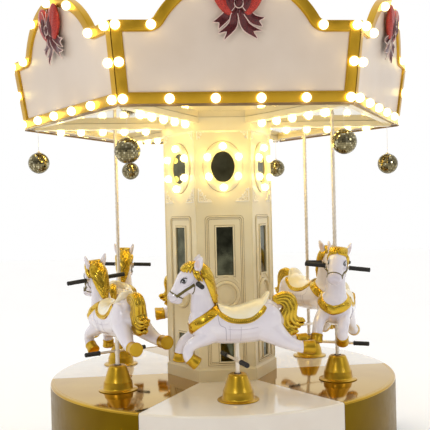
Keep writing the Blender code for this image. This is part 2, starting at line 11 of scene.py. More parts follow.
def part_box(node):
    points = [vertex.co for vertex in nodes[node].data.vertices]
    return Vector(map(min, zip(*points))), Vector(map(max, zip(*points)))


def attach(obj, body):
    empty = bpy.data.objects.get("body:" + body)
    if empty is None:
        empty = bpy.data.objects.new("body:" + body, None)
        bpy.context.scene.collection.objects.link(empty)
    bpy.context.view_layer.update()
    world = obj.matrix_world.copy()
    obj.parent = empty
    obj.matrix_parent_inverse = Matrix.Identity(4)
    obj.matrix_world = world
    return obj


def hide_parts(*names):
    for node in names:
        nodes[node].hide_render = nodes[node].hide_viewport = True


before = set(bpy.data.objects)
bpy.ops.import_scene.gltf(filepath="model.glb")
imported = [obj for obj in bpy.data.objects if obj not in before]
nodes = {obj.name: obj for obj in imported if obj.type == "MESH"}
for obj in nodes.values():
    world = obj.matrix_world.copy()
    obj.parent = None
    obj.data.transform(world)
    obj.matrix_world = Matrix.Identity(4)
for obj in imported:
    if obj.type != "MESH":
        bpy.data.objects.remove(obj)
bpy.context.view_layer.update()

random.seed(7)

# The ride's own measures, read from the frame
places = ("front", "front_right", "back_right", "back", "back_left", "front_left")
corners = ("front_right", "right", "back_right", "back_left", "left", "front_left")
longPoles = ("front_right", "back_right", "back", "back_left")
sides = len(places)
sixth = math.tau / sides
apothem = math.cos(sixth / 2)
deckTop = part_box("drum_sector_front")[1].z
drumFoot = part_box("drum_sector_front")[0].z
deckRadius = -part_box("drum_sector_front")[0].y
horseRing = -(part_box("bell_front")[0].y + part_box("bell_front")[1].y) / 2
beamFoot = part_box("canopy_frame")[0].z


# Shaping helpers
def turned(work, profile, steps, angle=math.tau, start=0.0):
    # a row of (radius, height) points spun about the upright axis
    verts = [work.verts.new(Matrix.Rotation(start, 3, "Z") @ Vector((radius, 0, height))) for radius, height in profile]
    edges = [work.edges.new(pair) for pair in zip(verts, verts[1:])]
    bmesh.ops.spin(work, geom=verts + edges, axis=(0, 0, 1), cent=(0, 0, 0), angle=angle, steps=steps,
                   use_merge=angle > math.tau - 0.001)


def ringEdges(verts):
    return list(dict.fromkeys(edge for vert in verts for edge in vert.link_edges))


def vertsOf(geometry):
    return [item for item in geometry if isinstance(item, bmesh.types.BMVert)]


def grownRing(work, ring, matrix):
    # extrudes a ring of edges, moves the new ring and gives it back
    grown = bmesh.ops.extrude_edge_only(work, edges=ring)["geom"]
    verts = vertsOf(grown)
    moved = set(verts)
    bmesh.ops.transform(work, matrix=matrix, verts=verts)
    return [item for item in grown
            if isinstance(item, bmesh.types.BMEdge) and item.verts[0] in moved and item.verts[1] in moved]


def closeHoles(work):
    bmesh.ops.holes_fill(work, edges=[edge for edge in work.edges if edge.is_boundary], sides=0)


def rounded(work, edges, size, segments):
    bmesh.ops.bevel(work, geom=edges, offset=size, segments=segments, affect="EDGES", profile=0.5, material=-1,
                    clamp_overlap=True)


def swept(work, placings, segments=8):
    # a unit ring carried along a row of placings, each placing scales it to its place's size
    ring = ringEdges(bmesh.ops.create_circle(work, segments=segments, radius=1.0, matrix=placings[0])["verts"])
    bmesh.ops.contextual_create(work, geom=ring)
    for before, placing in zip(placings, placings[1:]):
        ring = grownRing(work, ring, placing @ before.inverted())
    bmesh.ops.contextual_create(work, geom=ring)


def smoothRow(stations, between):
    # more stations set between the given ones, on one smooth curve
    last = len(stations) - 1
    row = []
    for index in range(last):
        before, here, there, after = [Vector(stations[min(max(step, 0), last)]) for step in range(index - 1, index + 3)]
        for part in range(between):
            t = part / between
            row.append(0.5 * (2 * here + (there - before) * t + (2 * before - 5 * here + 4 * there - after) * t ** 2
                              + (3 * here - before - 3 * there + after) * t ** 3))
    row.append(Vector(stations[last]))
    return row


def placingsAlong(stations, across=(0, 1, 0)):
    # stations hold x, y, z, half depth and half width; the ring stands square to the row
    points = [Vector(station[:3]) for station in stations]
    placings = []
    for index, station in enumerate(stations):
        ahead = (points[min(index + 1, len(points) - 1)] - points[max(index - 1, 0)]).normalized()
        side = (Vector(across) - ahead * ahead.dot(Vector(across))).normalized()
        up = ahead.cross(side)
        turn = Matrix((side, up, ahead)).transposed().to_4x4()
        size = Matrix.Diagonal((station[4], station[3], 1.0, 1.0))
        placings.append(Matrix.Translation(points[index]) @ turn @ size)
    return placings


def loft(work, stations, segments=14, between=4, across=(0, 1, 0)):
    swept(work, placingsAlong(smoothRow(stations, between), across), segments)


def rod(work, start, end, radius, segments=12, endRadius=None):
    start, end = Vector(start), Vector(end)
    stand = Matrix.Translation((start + end) / 2) @ (end - start).to_track_quat("Z", "Y").to_matrix().to_4x4()
    bmesh.ops.create_cone(work, cap_ends=True, segments=segments, radius1=radius, matrix=stand,
                          radius2=radius if endRadius is None else endRadius, depth=(end - start).length)


def wire(work, points, radius, segments=6, between=4, across=(0, 1, 0)):
    # a round wire on a smooth curve through the points
    loft(work, [(*point, radius, radius) for point in points], segments, between, across)


def filled(work, outline, height):
    # one face inside an outline given as (x, y) points
    face = work.faces.new([work.verts.new((x, y, height)) for x, y in outline])
    face.normal_update()
    return face


def plate(work, outline, low, high, round):
    # an outline filled and raised from low to high, its upper edge rounded
    face = filled(work, outline, low)
    verts = vertsOf(bmesh.ops.extrude_face_region(work, geom=[face])["geom"])
    bmesh.ops.translate(work, verts=verts, vec=(0, 0, high - low))
    if round:
        moved = set(verts)
        rounded(work, [edge for edge in work.edges if edge.verts[0] in moved and edge.verts[1] in moved], round, 2)


def bead(work, outline, width, height, round, depth=0.0):
    # a raised moulding that follows an outline, with rounded shoulders
    shape = bmesh.new()
    face = filled(shape, outline, -depth)
    band = bmesh.ops.inset_region(shape, faces=[face], thickness=width, use_even_offset=True,
                                  use_boundary=True)["faces"]
    bmesh.ops.delete(shape, geom=[face], context="FACES_ONLY")
    verts = vertsOf(bmesh.ops.extrude_face_region(shape, geom=band)["geom"])
    bmesh.ops.translate(shape, verts=verts, vec=(0, 0, height + depth))
    moved = set(verts)
    rim = [edge for edge in shape.edges
           if edge.verts[0] in moved and edge.verts[1] in moved and edge.calc_face_angle(0) > 0.9]
    rounded(shape, rim, round, 3)
    join(work, shape)


def join(work, other, placing=Matrix()):
    # puts one shape into another and frees it
    carried = bpy.data.meshes.new("carried")
    bmesh.ops.transform(other, matrix=placing, verts=other.verts)
    other.to_mesh(carried)
    other.free()
    work.from_mesh(carried)
    bpy.data.meshes.remove(carried)


def meshOf(name, work, sharp=35, merge=1e-5):
    bmesh.ops.remove_doubles(work, verts=work.verts, dist=merge)
    bmesh.ops.recalc_face_normals(work, faces=work.faces)
    mesh = bpy.data.meshes.new(name)
    work.to_mesh(mesh)
    work.free()
    mesh.shade_smooth()
    mesh.set_sharp_from_angle(angle=math.radians(sharp))
    return mesh


def fused(name, work, voxel, rounds, factor, keep):
    # overlapping closed shapes run together into one skin, as clay is, then smoothed and thinned
    mesh = meshOf(name, work)
    lump = bpy.data.objects.new(name, mesh)
    bpy.context.collection.objects.link(lump)
    remesh = lump.modifiers.new("skin", "REMESH")
    remesh.mode = "VOXEL"
    remesh.voxel_size = voxel
    soften = lump.modifiers.new("soften", "SMOOTH")
    soften.factor = factor
    soften.iterations = rounds
    thin = lump.modifiers.new("thin", "DECIMATE")
    thin.ratio = keep
    skin = bpy.data.meshes.new_from_object(lump.evaluated_get(bpy.context.evaluated_depsgraph_get()))
    bpy.data.objects.remove(lump)
    bpy.data.meshes.remove(mesh)
    skin.shade_smooth()
    return skin


def putPiece(name, mesh, materials, body, placing=Matrix()):
    # a copy of a mesh set in place as a finished piece that rides on a body
    own = mesh.copy()
    own.name = name
    own.transform(placing)
    for material in materials:
        own.materials.append(material)
    piece = bpy.data.objects.new(name, own)
    bpy.context.collection.objects.link(piece)
    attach(piece, body)
    return piece


def sideTurn(number):
    return Matrix.Rotation(number * sixth, 4, "Z")


def onSixSides(name, mesh, materials, body, replaced=None):
    pieces = []
    for number, place in enumerate(places):
        piece = putPiece(f"{name}_{place}", mesh, materials, body, sideTurn(number))
        if replaced:
            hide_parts(f"{replaced}_{place}")
        pieces.append(piece)
    return pieces


# Finishes
def linear(hexColour):
    # an sRGB hex value as linear red, green, blue and full alpha
    parts = [int(hexColour[at:at + 2], 16) / 255 for at in (1, 3, 5)]
    return (*[part / 12.92 if part <= 0.04045 else ((part + 0.055) / 1.055) ** 2.4 for part in parts], 1.0)


def everyMm(size):
    # the scale of a pattern that repeats at this many millimetres
    return 1000.0 / size


def addNode(tree, kind, inputs=None, stops=None, **settings):
    node = tree.nodes.new(kind)
    for name, value in settings.items():
        setattr(node, name, value)
    for name, value in (inputs or {}).items():
        if isinstance(value, bpy.types.NodeSocket):
            tree.links.new(value, node.inputs[name])
        else:
            node.inputs[name].default_value = value
    if stops:
        marks = node.color_ramp.elements
        while len(marks) < len(stops):
            marks.new(0.5)
        for mark, (position, colour) in zip(marks, stops):
            mark.position = position
            mark.color = colour
    return node


def newFinish(name, sockets):
    finish = bpy.data.materials.new(name)
    finish.use_nodes = True
    shader = finish.node_tree.nodes["Principled BSDF"]
    for socket, value in sockets.items():
        shader.inputs[socket].default_value = value
    return finish, finish.node_tree, shader


def coated(name, tones, sockets, patch=160, grain=1.5, rough=(0.2, 0.3), depth=0.0002, wave=None, creaseShade=None):
    # a coat whose tone drifts over patches, whose gloss varies and whose skin has a fine grain, sizes in mm;
    # the darker tone given last is painted shade, mixed into the creases
    finish, tree, shader = newFinish(name, sockets)
    spot = addNode(tree, "ShaderNodeTexCoord").outputs["Object"]
    drift = addNode(tree, "ShaderNodeTexNoise", {"Vector": spot, "Scale": everyMm(patch), "Detail": 3.0})
    colour = addNode(tree, "ShaderNodeValToRGB", {"Fac": drift.outputs["Fac"]},
                     stops=[(0.3, linear(tones[0])), (0.7, linear(tones[1]))])
    tone = colour.outputs["Color"]
    if creaseShade:
        # painted shade: the darker tone is mixed in where the surface is creased
        crease = addNode(tree, "ShaderNodeNewGeometry").outputs["Pointiness"]
        creaseShadeMix = addNode(tree, "ShaderNodeMapRange", {"Value": crease, "From Min": 0.440, "From Max": 0.515})
        tone = addNode(tree, "ShaderNodeMix", {"Factor": creaseShadeMix.outputs["Result"], "A": linear(creaseShade), "B": tone},
                       data_type="RGBA").outputs["Result"]
    tree.links.new(tone, shader.inputs["Base Color"])
    wipe = addNode(tree, "ShaderNodeTexNoise", {"Vector": spot, "Scale": everyMm(patch / 4), "Detail": 4.0})
    gloss = addNode(tree, "ShaderNodeMapRange", {"Value": wipe.outputs["Fac"], "From Min": 0.3, "From Max": 0.7,
                                                 "To Min": rough[0], "To Max": rough[1]})
    tree.links.new(gloss.outputs["Result"], shader.inputs["Roughness"])
    fine = addNode(tree, "ShaderNodeTexNoise", {"Vector": spot, "Scale": everyMm(grain), "Detail": 2.0})
    bump = addNode(tree, "ShaderNodeBump", {"Height": fine.outputs["Fac"], "Strength": 0.3, "Distance": depth})
    if wave:
        swell = addNode(tree, "ShaderNodeTexNoise", {"Vector": spot, "Scale": everyMm(wave[0]), "Detail": 0.0})
        bump = addNode(tree, "ShaderNodeBump", {"Height": swell.outputs["Fac"], "Strength": 0.6,
                                                "Distance": wave[1] / 1000, "Normal": bump.outputs["Normal"]})
    tree.links.new(bump.outputs["Normal"], shader.inputs["Normal"])
    return finish


# White gelcoat on the deck: thick clear gloss over glass fibre, slightly uneven, so reflections waver
deckGelcoat = coated("deckGelcoat", ("#EFE3CF", "#F6ECDC"), {"IOR": 1.5, "Coat Weight": 0.6, "Coat Roughness": 0.04},
                     patch=240, grain=0.8, rough=(0.10, 0.18), depth=0.00005, wave=(120, 0.25))
# Mirror-gold acrylic sheet on the deck: metallised, polished, laid with a slight ripple
mirrorGoldSheet = coated("mirrorGoldSheet", ("#B68E2C", "#C29C36"), {"Metallic": 1.0},
                         patch=300, grain=0.6, rough=(0.05, 0.09), depth=0.00003, wave=(150, 0.35))
# Olive-gold paint on the skirt: satin, metal flake, sprayed
goldSkirtPaint = coated("goldSkirtPaint", ("#6E5408", "#7A600C"), {"Metallic": 1.0},
                        patch=200, grain=0.9, rough=(0.30, 0.40), depth=0.00008)
# White skirt gelcoat: the same moulding as the deck, a little duller on the side
skirtGelcoat = coated("skirtGelcoat", ("#EADFD2", "#F1E8DC"), {"IOR": 1.5, "Coat Weight": 0.3, "Coat Roughness": 0.1},
                      patch=240, grain=0.8, rough=(0.16, 0.26), depth=0.00005)
# Gold chrome lacquer over glass fibre: bright flake under clear gloss, used on manes, tails, collars, saddle trims and
# deck trims
# its creases are darkened with painted shade
goldLacquer = coated("goldLacquer", ("#CCA42C", "#DCB846"), {"Metallic": 1.0},
                     patch=60, grain=0.9, rough=(0.22, 0.28), depth=0.00001, creaseShade="#6A500C")
# Spun and lacquered bell metal: deeper and glossier than the castings
bellGold = coated("bellGold", ("#BE9420", "#CCA42C"), {"Metallic": 1.0, "Coat Weight": 0.2, "Coat Roughness": 0.12},
                  patch=90, grain=1.2, rough=(0.30, 0.38), depth=0.00001, wave=(60, 0.08))
# Gold foil laminate on the board frames: satin, with a soft cloudy sheen
frameGold = coated("frameGold", ("#BC901A", "#CEA22C"), {"Metallic": 0.8}, patch=120, grain=1.0, rough=(0.28, 0.38),
                   depth=0.00002)
# Cream paint on the column and the canopy frame: brushed on mouldings, satin
creamPaint = coated("creamPaint", ("#ECDCB0", "#F2E5BE"), {"IOR": 1.5, "Coat Weight": 0.2, "Coat Roughness": 0.15},
                    patch=180, grain=1.2, rough=(0.28, 0.38), depth=0.00010)
# Coated white panel board: flat, satin, a faint cloud in the coat
panelWhite = coated("panelWhite", ("#D8C6B4", "#E0D0C0"), {"IOR": 1.5}, patch=320, grain=1.4, rough=(0.30, 0.42),
                    depth=0.00006)
# Grey enamel on the steel plinth
plinthEnamel = coated("plinthEnamel", ("#6C6A66", "#7B7975"), {"IOR": 1.5}, patch=140, grain=1.2, rough=(0.4, 0.55),
                      depth=0.00012)
# Polished tube with a warm tarnish
poleSteel = coated("poleSteel", ("#E4D8C6", "#F0E6D8"), {"Metallic": 0.8}, patch=30, grain=0.8, rough=(0.30, 0.40),
                   depth=0.00005)
# Moulded black rubber: matte, slightly greyed where hands rub it
gripRubber = coated("gripRubber", ("#161412", "#221F1C"), {"IOR": 1.52}, patch=30, grain=0.7, rough=(0.5, 0.68),
                    depth=0.0002)
# Bronze-olive paint on the bridle: satin
bridlePaint = coated("bridlePaint", ("#5C5020", "#6E6028"), {"Metallic": 0.3}, patch=30, grain=0.8, rough=(0.28, 0.4),
                     depth=0.00008)
# Cream gelcoat of the saddle, warmer than the horse
saddleCream = coated("saddleCream", ("#FBEFC8", "#FFF5DA"), {"IOR": 1.5, "Coat Weight": 0.6, "Coat Roughness": 0.05},
                     patch=60, grain=0.9, rough=(0.14, 0.22), depth=0.00006)
# Silvered acrylic of the ceiling: bright, faintly warm, not quite flat
ceilingSilver = coated("ceilingSilver", ("#D9CFB4", "#E4DCC6"), {"Metallic": 1.0}, patch=300, grain=0.7,
                       rough=(0.03, 0.06), depth=0.00002, wave=(260, 0.4))
# Mirror set in the column: dark silvering with cloudy patches, a painted reflection of a dark hall
darkReflectionMirror = coated("darkReflectionMirror", ("#3A3A2C", "#6A6A54"), {"Metallic": 1.0}, patch=70, grain=0.7,
                      rough=(0.03, 0.07), depth=0.00002, wave=(90, 0.3))
# Gloss black of the painted eyes
eyeBlack = coated("eyeBlack", ("#0C0A0A", "#141010"), {"IOR": 1.5, "Coat Weight": 1.0, "Coat Roughness": 0.03},
                  patch=10, grain=0.6, rough=(0.08, 0.14), depth=0.00002)
# Gloss white of the eyes and their glints
eyeWhite = coated("eyeWhite", ("#EFEAF2", "#F8F4FA"), {"IOR": 1.5, "Coat Weight": 1.0, "Coat Roughness": 0.03},
                  patch=10, grain=0.6, rough=(0.08, 0.14), depth=0.00002)
# Grey paint drawn into the fine lines of the castings
linePaint = coated("linePaint", ("#ACA0AE", "#B6ABB8"), {"IOR": 1.5}, patch=20, grain=0.8, rough=(0.25, 0.35),
                   depth=0.00004)
# Dark olive-brown paint on the rim under the boards, painted shade below the boards' lower edge: satin
rimShadePaint = coated("rimShadePaint", ("#6E5638", "#7E6442"), {"IOR": 1.5}, patch=90, grain=1.0, rough=(0.3, 0.42),
                  depth=0.00004)
# Lighter cream on the fretwork: satin
laceCream = coated("laceCream", ("#FFF6E0", "#FFFAEC"), {"IOR": 1.5, "Coat Weight": 0.2, "Coat Roughness": 0.15},
                   patch=60, grain=1.0, rough=(0.28, 0.38), depth=0.00005)
# Pale satin cord sewn round the ribbon: soft sheen
cordPale = coated("cordPale", ("#D8B4A8", "#EBD2C6"), {"IOR": 1.5, "Sheen Weight": 0.3}, patch=20, grain=1.2,
                  rough=(0.35, 0.5), depth=0.00015)
# Brown paint laid in the grooves of the column as painted shade: matte
grooveShadePaint = coated("grooveShadePaint", ("#8E7648", "#A48C5C"), {"IOR": 1.5}, patch=60, grain=1.0, rough=(0.45, 0.6),
                     depth=0.00005)
# Dark seam and grommet rubber
darkSeam = coated("darkSeam", ("#2A2218", "#3A3022"), {"IOR": 1.5}, patch=40, grain=0.8, rough=(0.5, 0.65),
                  depth=0.0001)


def bulbFinish(name, strength, tones):
    # Frosted lamp glass, lit: it glows warm white all over
    finish, tree, shader = newFinish(name, {"Base Color": linear("#FFF6E2"), "Roughness": 0.35,
                                            "Emission Strength": strength})
    spot = addNode(tree, "ShaderNodeTexCoord").outputs["Object"]
    frost = addNode(tree, "ShaderNodeTexNoise", {"Vector": spot, "Scale": everyMm(12), "Detail": 2.0})
    glow = addNode(tree, "ShaderNodeValToRGB", {"Fac": frost.outputs["Fac"]},
                   stops=[(0.3, linear(tones[0])), (0.7, linear(tones[1]))])
    tree.links.new(glow.outputs["Color"], shader.inputs["Emission Color"])
    return finish


def horseFinish():
    # White gelcoat on the glass-fibre horses: deep gloss, cool white, painted shade under the muzzle and in the
    # nostrils, and pink inner ears
    finish, tree, shader = newFinish("horseGelcoat", {"IOR": 1.5, "Coat Weight": 0.7, "Coat Roughness": 0.04})
    spot = addNode(tree, "ShaderNodeTexCoord").outputs["Object"]
    drift = addNode(tree, "ShaderNodeTexNoise", {"Vector": spot, "Scale": everyMm(110), "Detail": 3.0})
    body = addNode(tree, "ShaderNodeValToRGB", {"Fac": drift.outputs["Fac"]},
                   stops=[(0.3, linear("#E8E0E8")), (0.7, linear("#F0E9EE"))])
    tint = addNode(tree, "ShaderNodeAttribute", attribute_name="tint")
    parts = addNode(tree, "ShaderNodeSeparateColor", {"Color": tint.outputs["Color"]})
    pink = addNode(tree, "ShaderNodeMix", {"Factor": parts.outputs["Red"], "A": body.outputs["Color"],
                                           "B": linear("#E2BFB4")}, data_type="RGBA")
    # the green channel mixes in grey-lavender painted shade
    paintedShadeMix = addNode(tree, "ShaderNodeMix", {"Factor": parts.outputs["Green"], "A": pink.outputs["Result"],
                                           "B": linear("#B7AAB8")}, data_type="RGBA")
    tree.links.new(paintedShadeMix.outputs["Result"], shader.inputs["Base Color"])
    wipe = addNode(tree, "ShaderNodeTexNoise", {"Vector": spot, "Scale": everyMm(40), "Detail": 4.0})
    gloss = addNode(tree, "ShaderNodeMapRange", {"Value": wipe.outputs["Fac"], "From Min": 0.3, "From Max": 0.7,
                                                 "To Min": 0.12, "To Max": 0.20})
    tree.links.new(gloss.outputs["Result"], shader.inputs["Roughness"])
    skin = addNode(tree, "ShaderNodeTexNoise", {"Vector": spot, "Scale": everyMm(3), "Detail": 1.0})
    bump = addNode(tree, "ShaderNodeBump", {"Height": skin.outputs["Fac"], "Strength": 0.25, "Distance": 0.0001})
    tree.links.new(bump.outputs["Normal"], shader.inputs["Normal"])
    return finish


def glitterFinish(name, base, spark):
    # Glitter foil bonded to ribbon: flakes about 1.5 mm across, drawn at 3 mm so that they show
    finish, tree, shader = newFinish(name, {"Metallic": 0.45, "Coat Weight": 0.4, "Coat Roughness": 0.1})
    spot = addNode(tree, "ShaderNodeTexCoord").outputs["Object"]
    flakes = addNode(tree, "ShaderNodeTexVoronoi", {"Vector": spot, "Scale": everyMm(3)})
    colour = addNode(tree, "ShaderNodeValToRGB", {"Fac": flakes.outputs["Color"]},
                     stops=[(0.2, linear(base)), (0.9, linear(spark))])
    tree.links.new(colour.outputs["Color"], shader.inputs["Base Color"])
    gloss = addNode(tree, "ShaderNodeMapRange", {"Value": flakes.outputs["Distance"], "From Max": 0.6,
                                                 "To Min": 0.15, "To Max": 0.45})
    tree.links.new(gloss.outputs["Result"], shader.inputs["Roughness"])
    tilt = addNode(tree, "ShaderNodeBump", {"Height": flakes.outputs["Distance"], "Strength": 0.5, "Distance": 0.0006})
    tree.links.new(tilt.outputs["Normal"], shader.inputs["Normal"])
    return finish


def tileReflectionFinish():
    # Small silvered glass tiles: each tile's tone is a painted reflection of a darker hall, from dark to light at
    # random
    finish, tree, shader = newFinish("paintedReflectionTiles", {"Metallic": 1.0, "Roughness": 0.06})
    tint = addNode(tree, "ShaderNodeAttribute", attribute_name="tint")
    parts = addNode(tree, "ShaderNodeSeparateColor", {"Color": tint.outputs["Color"]})
    tone = addNode(tree, "ShaderNodeValToRGB", {"Fac": parts.outputs["Red"]},
                   stops=[(0.0, linear("#766C4E")), (0.6, linear("#9A906C")), (1.0, linear("#DCD2AE"))])
    tree.links.new(tone.outputs["Color"], shader.inputs["Base Color"])
    return finish


litGlass = bulbFinish("litLampGlass", 5.5, ("#FFE694", "#FFEAA4"))
innerLitGlass = bulbFinish("innerLitLampGlass", 15.0, ("#FFE07A", "#FFE48A"))
horseGelcoat = horseFinish()
bowGlitter = glitterFinish("bowGlitterRed", "#8A0A06", "#D03A22")
tailGlitter = glitterFinish("bowGlitterMaroon", "#38070B", "#6E1418")
paintedReflectionTiles = tileReflectionFinish()
print("finishes made")


def paintTint(mesh, shade):
    # stores a colour at each point of a mesh, worked out from the point's place
    layer = mesh.color_attributes.new("tint", "FLOAT_COLOR", "POINT")
    for vert, mark in zip(mesh.vertices, layer.data):
        mark.color = (*shade(vert), 1.0)


# Bulbs
bulb = {"radius": 0.025, "stand": 0.017, "collarRadius": 0.019, "collarHeight": 0.010}


def bulbShape(glass, collars, placing, size=1.0):
    # a frosted globe on its collar, standing along the placing's z axis
    bmesh.ops.create_uvsphere(glass, u_segments=16, v_segments=10, radius=bulb["radius"] * size,
                              matrix=placing @ Matrix.Translation((0, 0, bulb["stand"] * size)))
    ring = bmesh.new()
    radius, height = bulb["collarRadius"] * size, bulb["collarHeight"] * size
    turned(ring, [(0.0, -0.002), (radius, -0.002), (radius, height * 0.7), (radius * 0.92, height), (0.0, height)], 14)
    join(collars, ring, placing)


def bulbRow(name, placings, body, size=1.0, collar=frameGold, lit=litGlass):
    glass, collars = bmesh.new(), bmesh.new()
    for placing in placings:
        bulbShape(glass, collars, placing, size)
    putPiece(name + "Glass", meshOf(name, glass), [lit], body)
    putPiece(name + "Collars", meshOf(name, collars), [collar], body)


# Drum: deck and skirt
drum = {"shell": 0.020, "rimRound": 0.012, "innerRadius": 0.300, "seam": 0.0010, "trimRadii": (1.094, 1.104),
        "trimWidth": 0.0022, "steps": 36}


def drumSectors():
    outer, top, shell, curve = deckRadius, deckTop, drum["shell"], drum["rimRound"]
    profile = [(drum["innerRadius"], top - shell), (drum["innerRadius"], top)]
    for step in range(7):
        angle = math.pi / 2 * (1 - step / 6)
        profile.append((outer - curve + curve * math.cos(angle), top - curve + curve * math.sin(angle)))
    profile += [(outer, drumFoot), (outer - shell, drumFoot), (outer - shell, top - shell), profile[0]]
    work = bmesh.new()
    half = sixth / 2 - drum["seam"] / outer
    turned(work, profile, drum["steps"], 2 * half, -math.pi / 2 - half)
    bmesh.ops.remove_doubles(work, verts=work.verts, dist=1e-5)
    closeHoles(work)
    for face in work.faces:
        face.material_index = 0 if face.calc_center_median().z > top - curve * 0.9 else 1
    mesh = meshOf("drumSector", work)
    for number, place in enumerate(places):
        coats = [mirrorGoldSheet, goldSkirtPaint] if number % 2 else [deckGelcoat, skirtGelcoat]
        sector = putPiece(f"deckAndSkirt_{place}", mesh, coats, "turntable", sideTurn(number))
        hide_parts(f"drum_sector_{place}")
    trim = bmesh.new()
    for radius in drum["trimRadii"]:
        wide = drum["trimWidth"] / 2
        row = [(radius - wide, top - 0.0005), (radius - wide * 0.6, top + 0.0010), (radius + wide * 0.6, top + 0.0010),
               (radius + wide, top - 0.0005), (radius - wide, top - 0.0005)]
        turned(trim, row, drum["steps"], 2 * half, -math.pi / 2 - half)
    trimMesh = meshOf("deckTrim", trim)
    for number in (1, 3, 5):
        putPiece(f"deckTrim_{places[number]}", trimMesh, [goldLacquer], "turntable", sideTurn(number))


drumSectors()
nodes["base_plinth"].data.materials.clear()
nodes["base_plinth"].data.materials.append(plinthEnamel)
print("drum made")


# Bells round the feet of the poles
bell = {"profile": [(0.0132, 0.0), (0.114, 0.0), (0.118, 0.0015), (0.118, 0.0045), (0.115, 0.0065),
                                    (0.097, 0.0080), (0.0915, 0.0115), (0.0895, 0.0180), (0.0880, 0.0350),
                                    (0.0855, 0.0480), (0.0862, 0.0520), (0.0845, 0.0560), (0.0800, 0.0640),
                                    (0.0730, 0.0860), (0.0640, 0.1130), (0.0575, 0.1320), (0.0545, 0.1400),
                                    (0.0500, 0.1460), (0.0440, 0.1490), (0.0360, 0.1500), (0.0240, 0.1500),
                                    (0.0225, 0.1480), (0.0132, 0.1480)]}


def poleBells():
    work = bmesh.new()
    turned(work, bell["profile"] + [bell["profile"][0]], 72)
    bellMesh = meshOf("bell", work, 50)
    work = bmesh.new()
    turned(work, [(0.0136, 0.1470), (0.0220, 0.1470), (0.0220, 0.1500), (0.0200, 0.1520), (0.0155, 0.1520),
                  (0.0136, 0.1500), (0.0136, 0.1470)], 40)
    ringMesh = meshOf("bellRing", work)
    for number, place in enumerate(places):
        stand = sideTurn(number) @ Matrix.Translation((0, -horseRing, deckTop + 0.0003))
        cover = putPiece(f"poleBell_{place}", bellMesh, [bellGold], "turntable", stand)
        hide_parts(f"bell_{place}")
        putPiece(f"bellRing_{place}", ringMesh, [darkSeam], "turntable", stand)


poleBells()
print("bells made")


# Column: each face is dressed in its own frame, x across, y up from the deck, z out of the face
column = {
    "cornerRadius": 0.353, "ovalHigh": 1.340, "ovalMirror": (0.077, 0.100), "ovalRing": (0.125, 0.160),
    "ovalBulbs": ((0, 0.126), (0.098, 0.060), (0.092, -0.062), (0, -0.130), (-0.092, -0.062), (-0.098, 0.060)),
    "frame": (0.119, 0.100, 1.032), "frameChamfer": 0.026, "tallMirror": (0.052, 0.661, 0.963),
    "medallionHigh": 0.538, "medallionRing": (0.068, 0.089), "lowMirror": (0.042, 0.122, 0.288),
    "recess": 0.008, "brackets": ((1.123, 1), (1.596, -1)), "bracketSize": 0.084, "bracketReach": 0.158,
    # width, height, rounding and depth of the brown lines of painted shade
    "shadeLine": (0.003, 0.0008, 0.0003, 0.002),
}
columnFace = column["cornerRadius"] * apothem
toFace = Matrix(((1, 0, 0, 0), (0, 0, -1, -columnFace), (0, 1, 0, deckTop), (0, 0, 0, 1)))


def ovalOutline(wide, high, middle, points=48):
    return [(wide * math.cos(math.tau * step / points), middle + high * math.sin(math.tau * step / points))
            for step in range(points)]


def boxOutline(half, low, high, chamfer=0.0):
    if not chamfer:
        return [(-half, low), (half, low), (half, high), (-half, high)]
    arc = [(half - chamfer + chamfer * math.cos(turn), high - chamfer + chamfer * math.sin(turn))
           for turn in [math.pi / 2 * step / 5 for step in range(6)]]
    return [(-half, low), (half, low), *arc, *[(-x, y) for x, y in reversed(arc)]]


def scroll(work, centre, radius, start, turns, thick, hand=1):
    # a volute that winds in towards its centre
    points = []
    for step in range(17):
        part = step / 16
        angle = start + hand * part * turns * math.tau
        reach = radius * (1 - 0.82 * part)
        points.append((centre[0] + reach * math.cos(angle), centre[1] + reach * math.sin(angle), 0.001,
                       thick * (1 - 0.45 * part), thick * (1 - 0.45 * part)))
    loft(work, points, 6, 1, (0, 0, 1))


def bracket(work, low, up):
    # fretwork in a corner of the oval's panel: two legs, scrolls between them and a leaf on the slope
    size, reach = column["bracketSize"], column["bracketReach"]
    for hand in (-1, 1):
        corner = Vector((hand * reach, low, 0.001))
        inward, upward = Vector((-hand, 0, 0)), Vector((0, up, 0))
        for leg in (inward, upward):
            wire(work, [corner, corner + leg * size * 0.5, corner + leg * size], 0.0042, 6, 2, (0, 0, 1))
        for along, out, radius, start in ((0.24, 0.20, 0.016, 0.6), (0.58, 0.17, 0.012, 0.2), (0.20, 0.56, 0.012, 1.4),
                                          (0.84, 0.10, 0.007, 0.0), (0.12, 0.84, 0.007, 1.2), (0.42, 0.40, 0.009, 0.9)):
            place = corner + inward * size * along + upward * size * out
            scroll(work, place, radius, start * up, 1.2, 0.0036, hand * up)


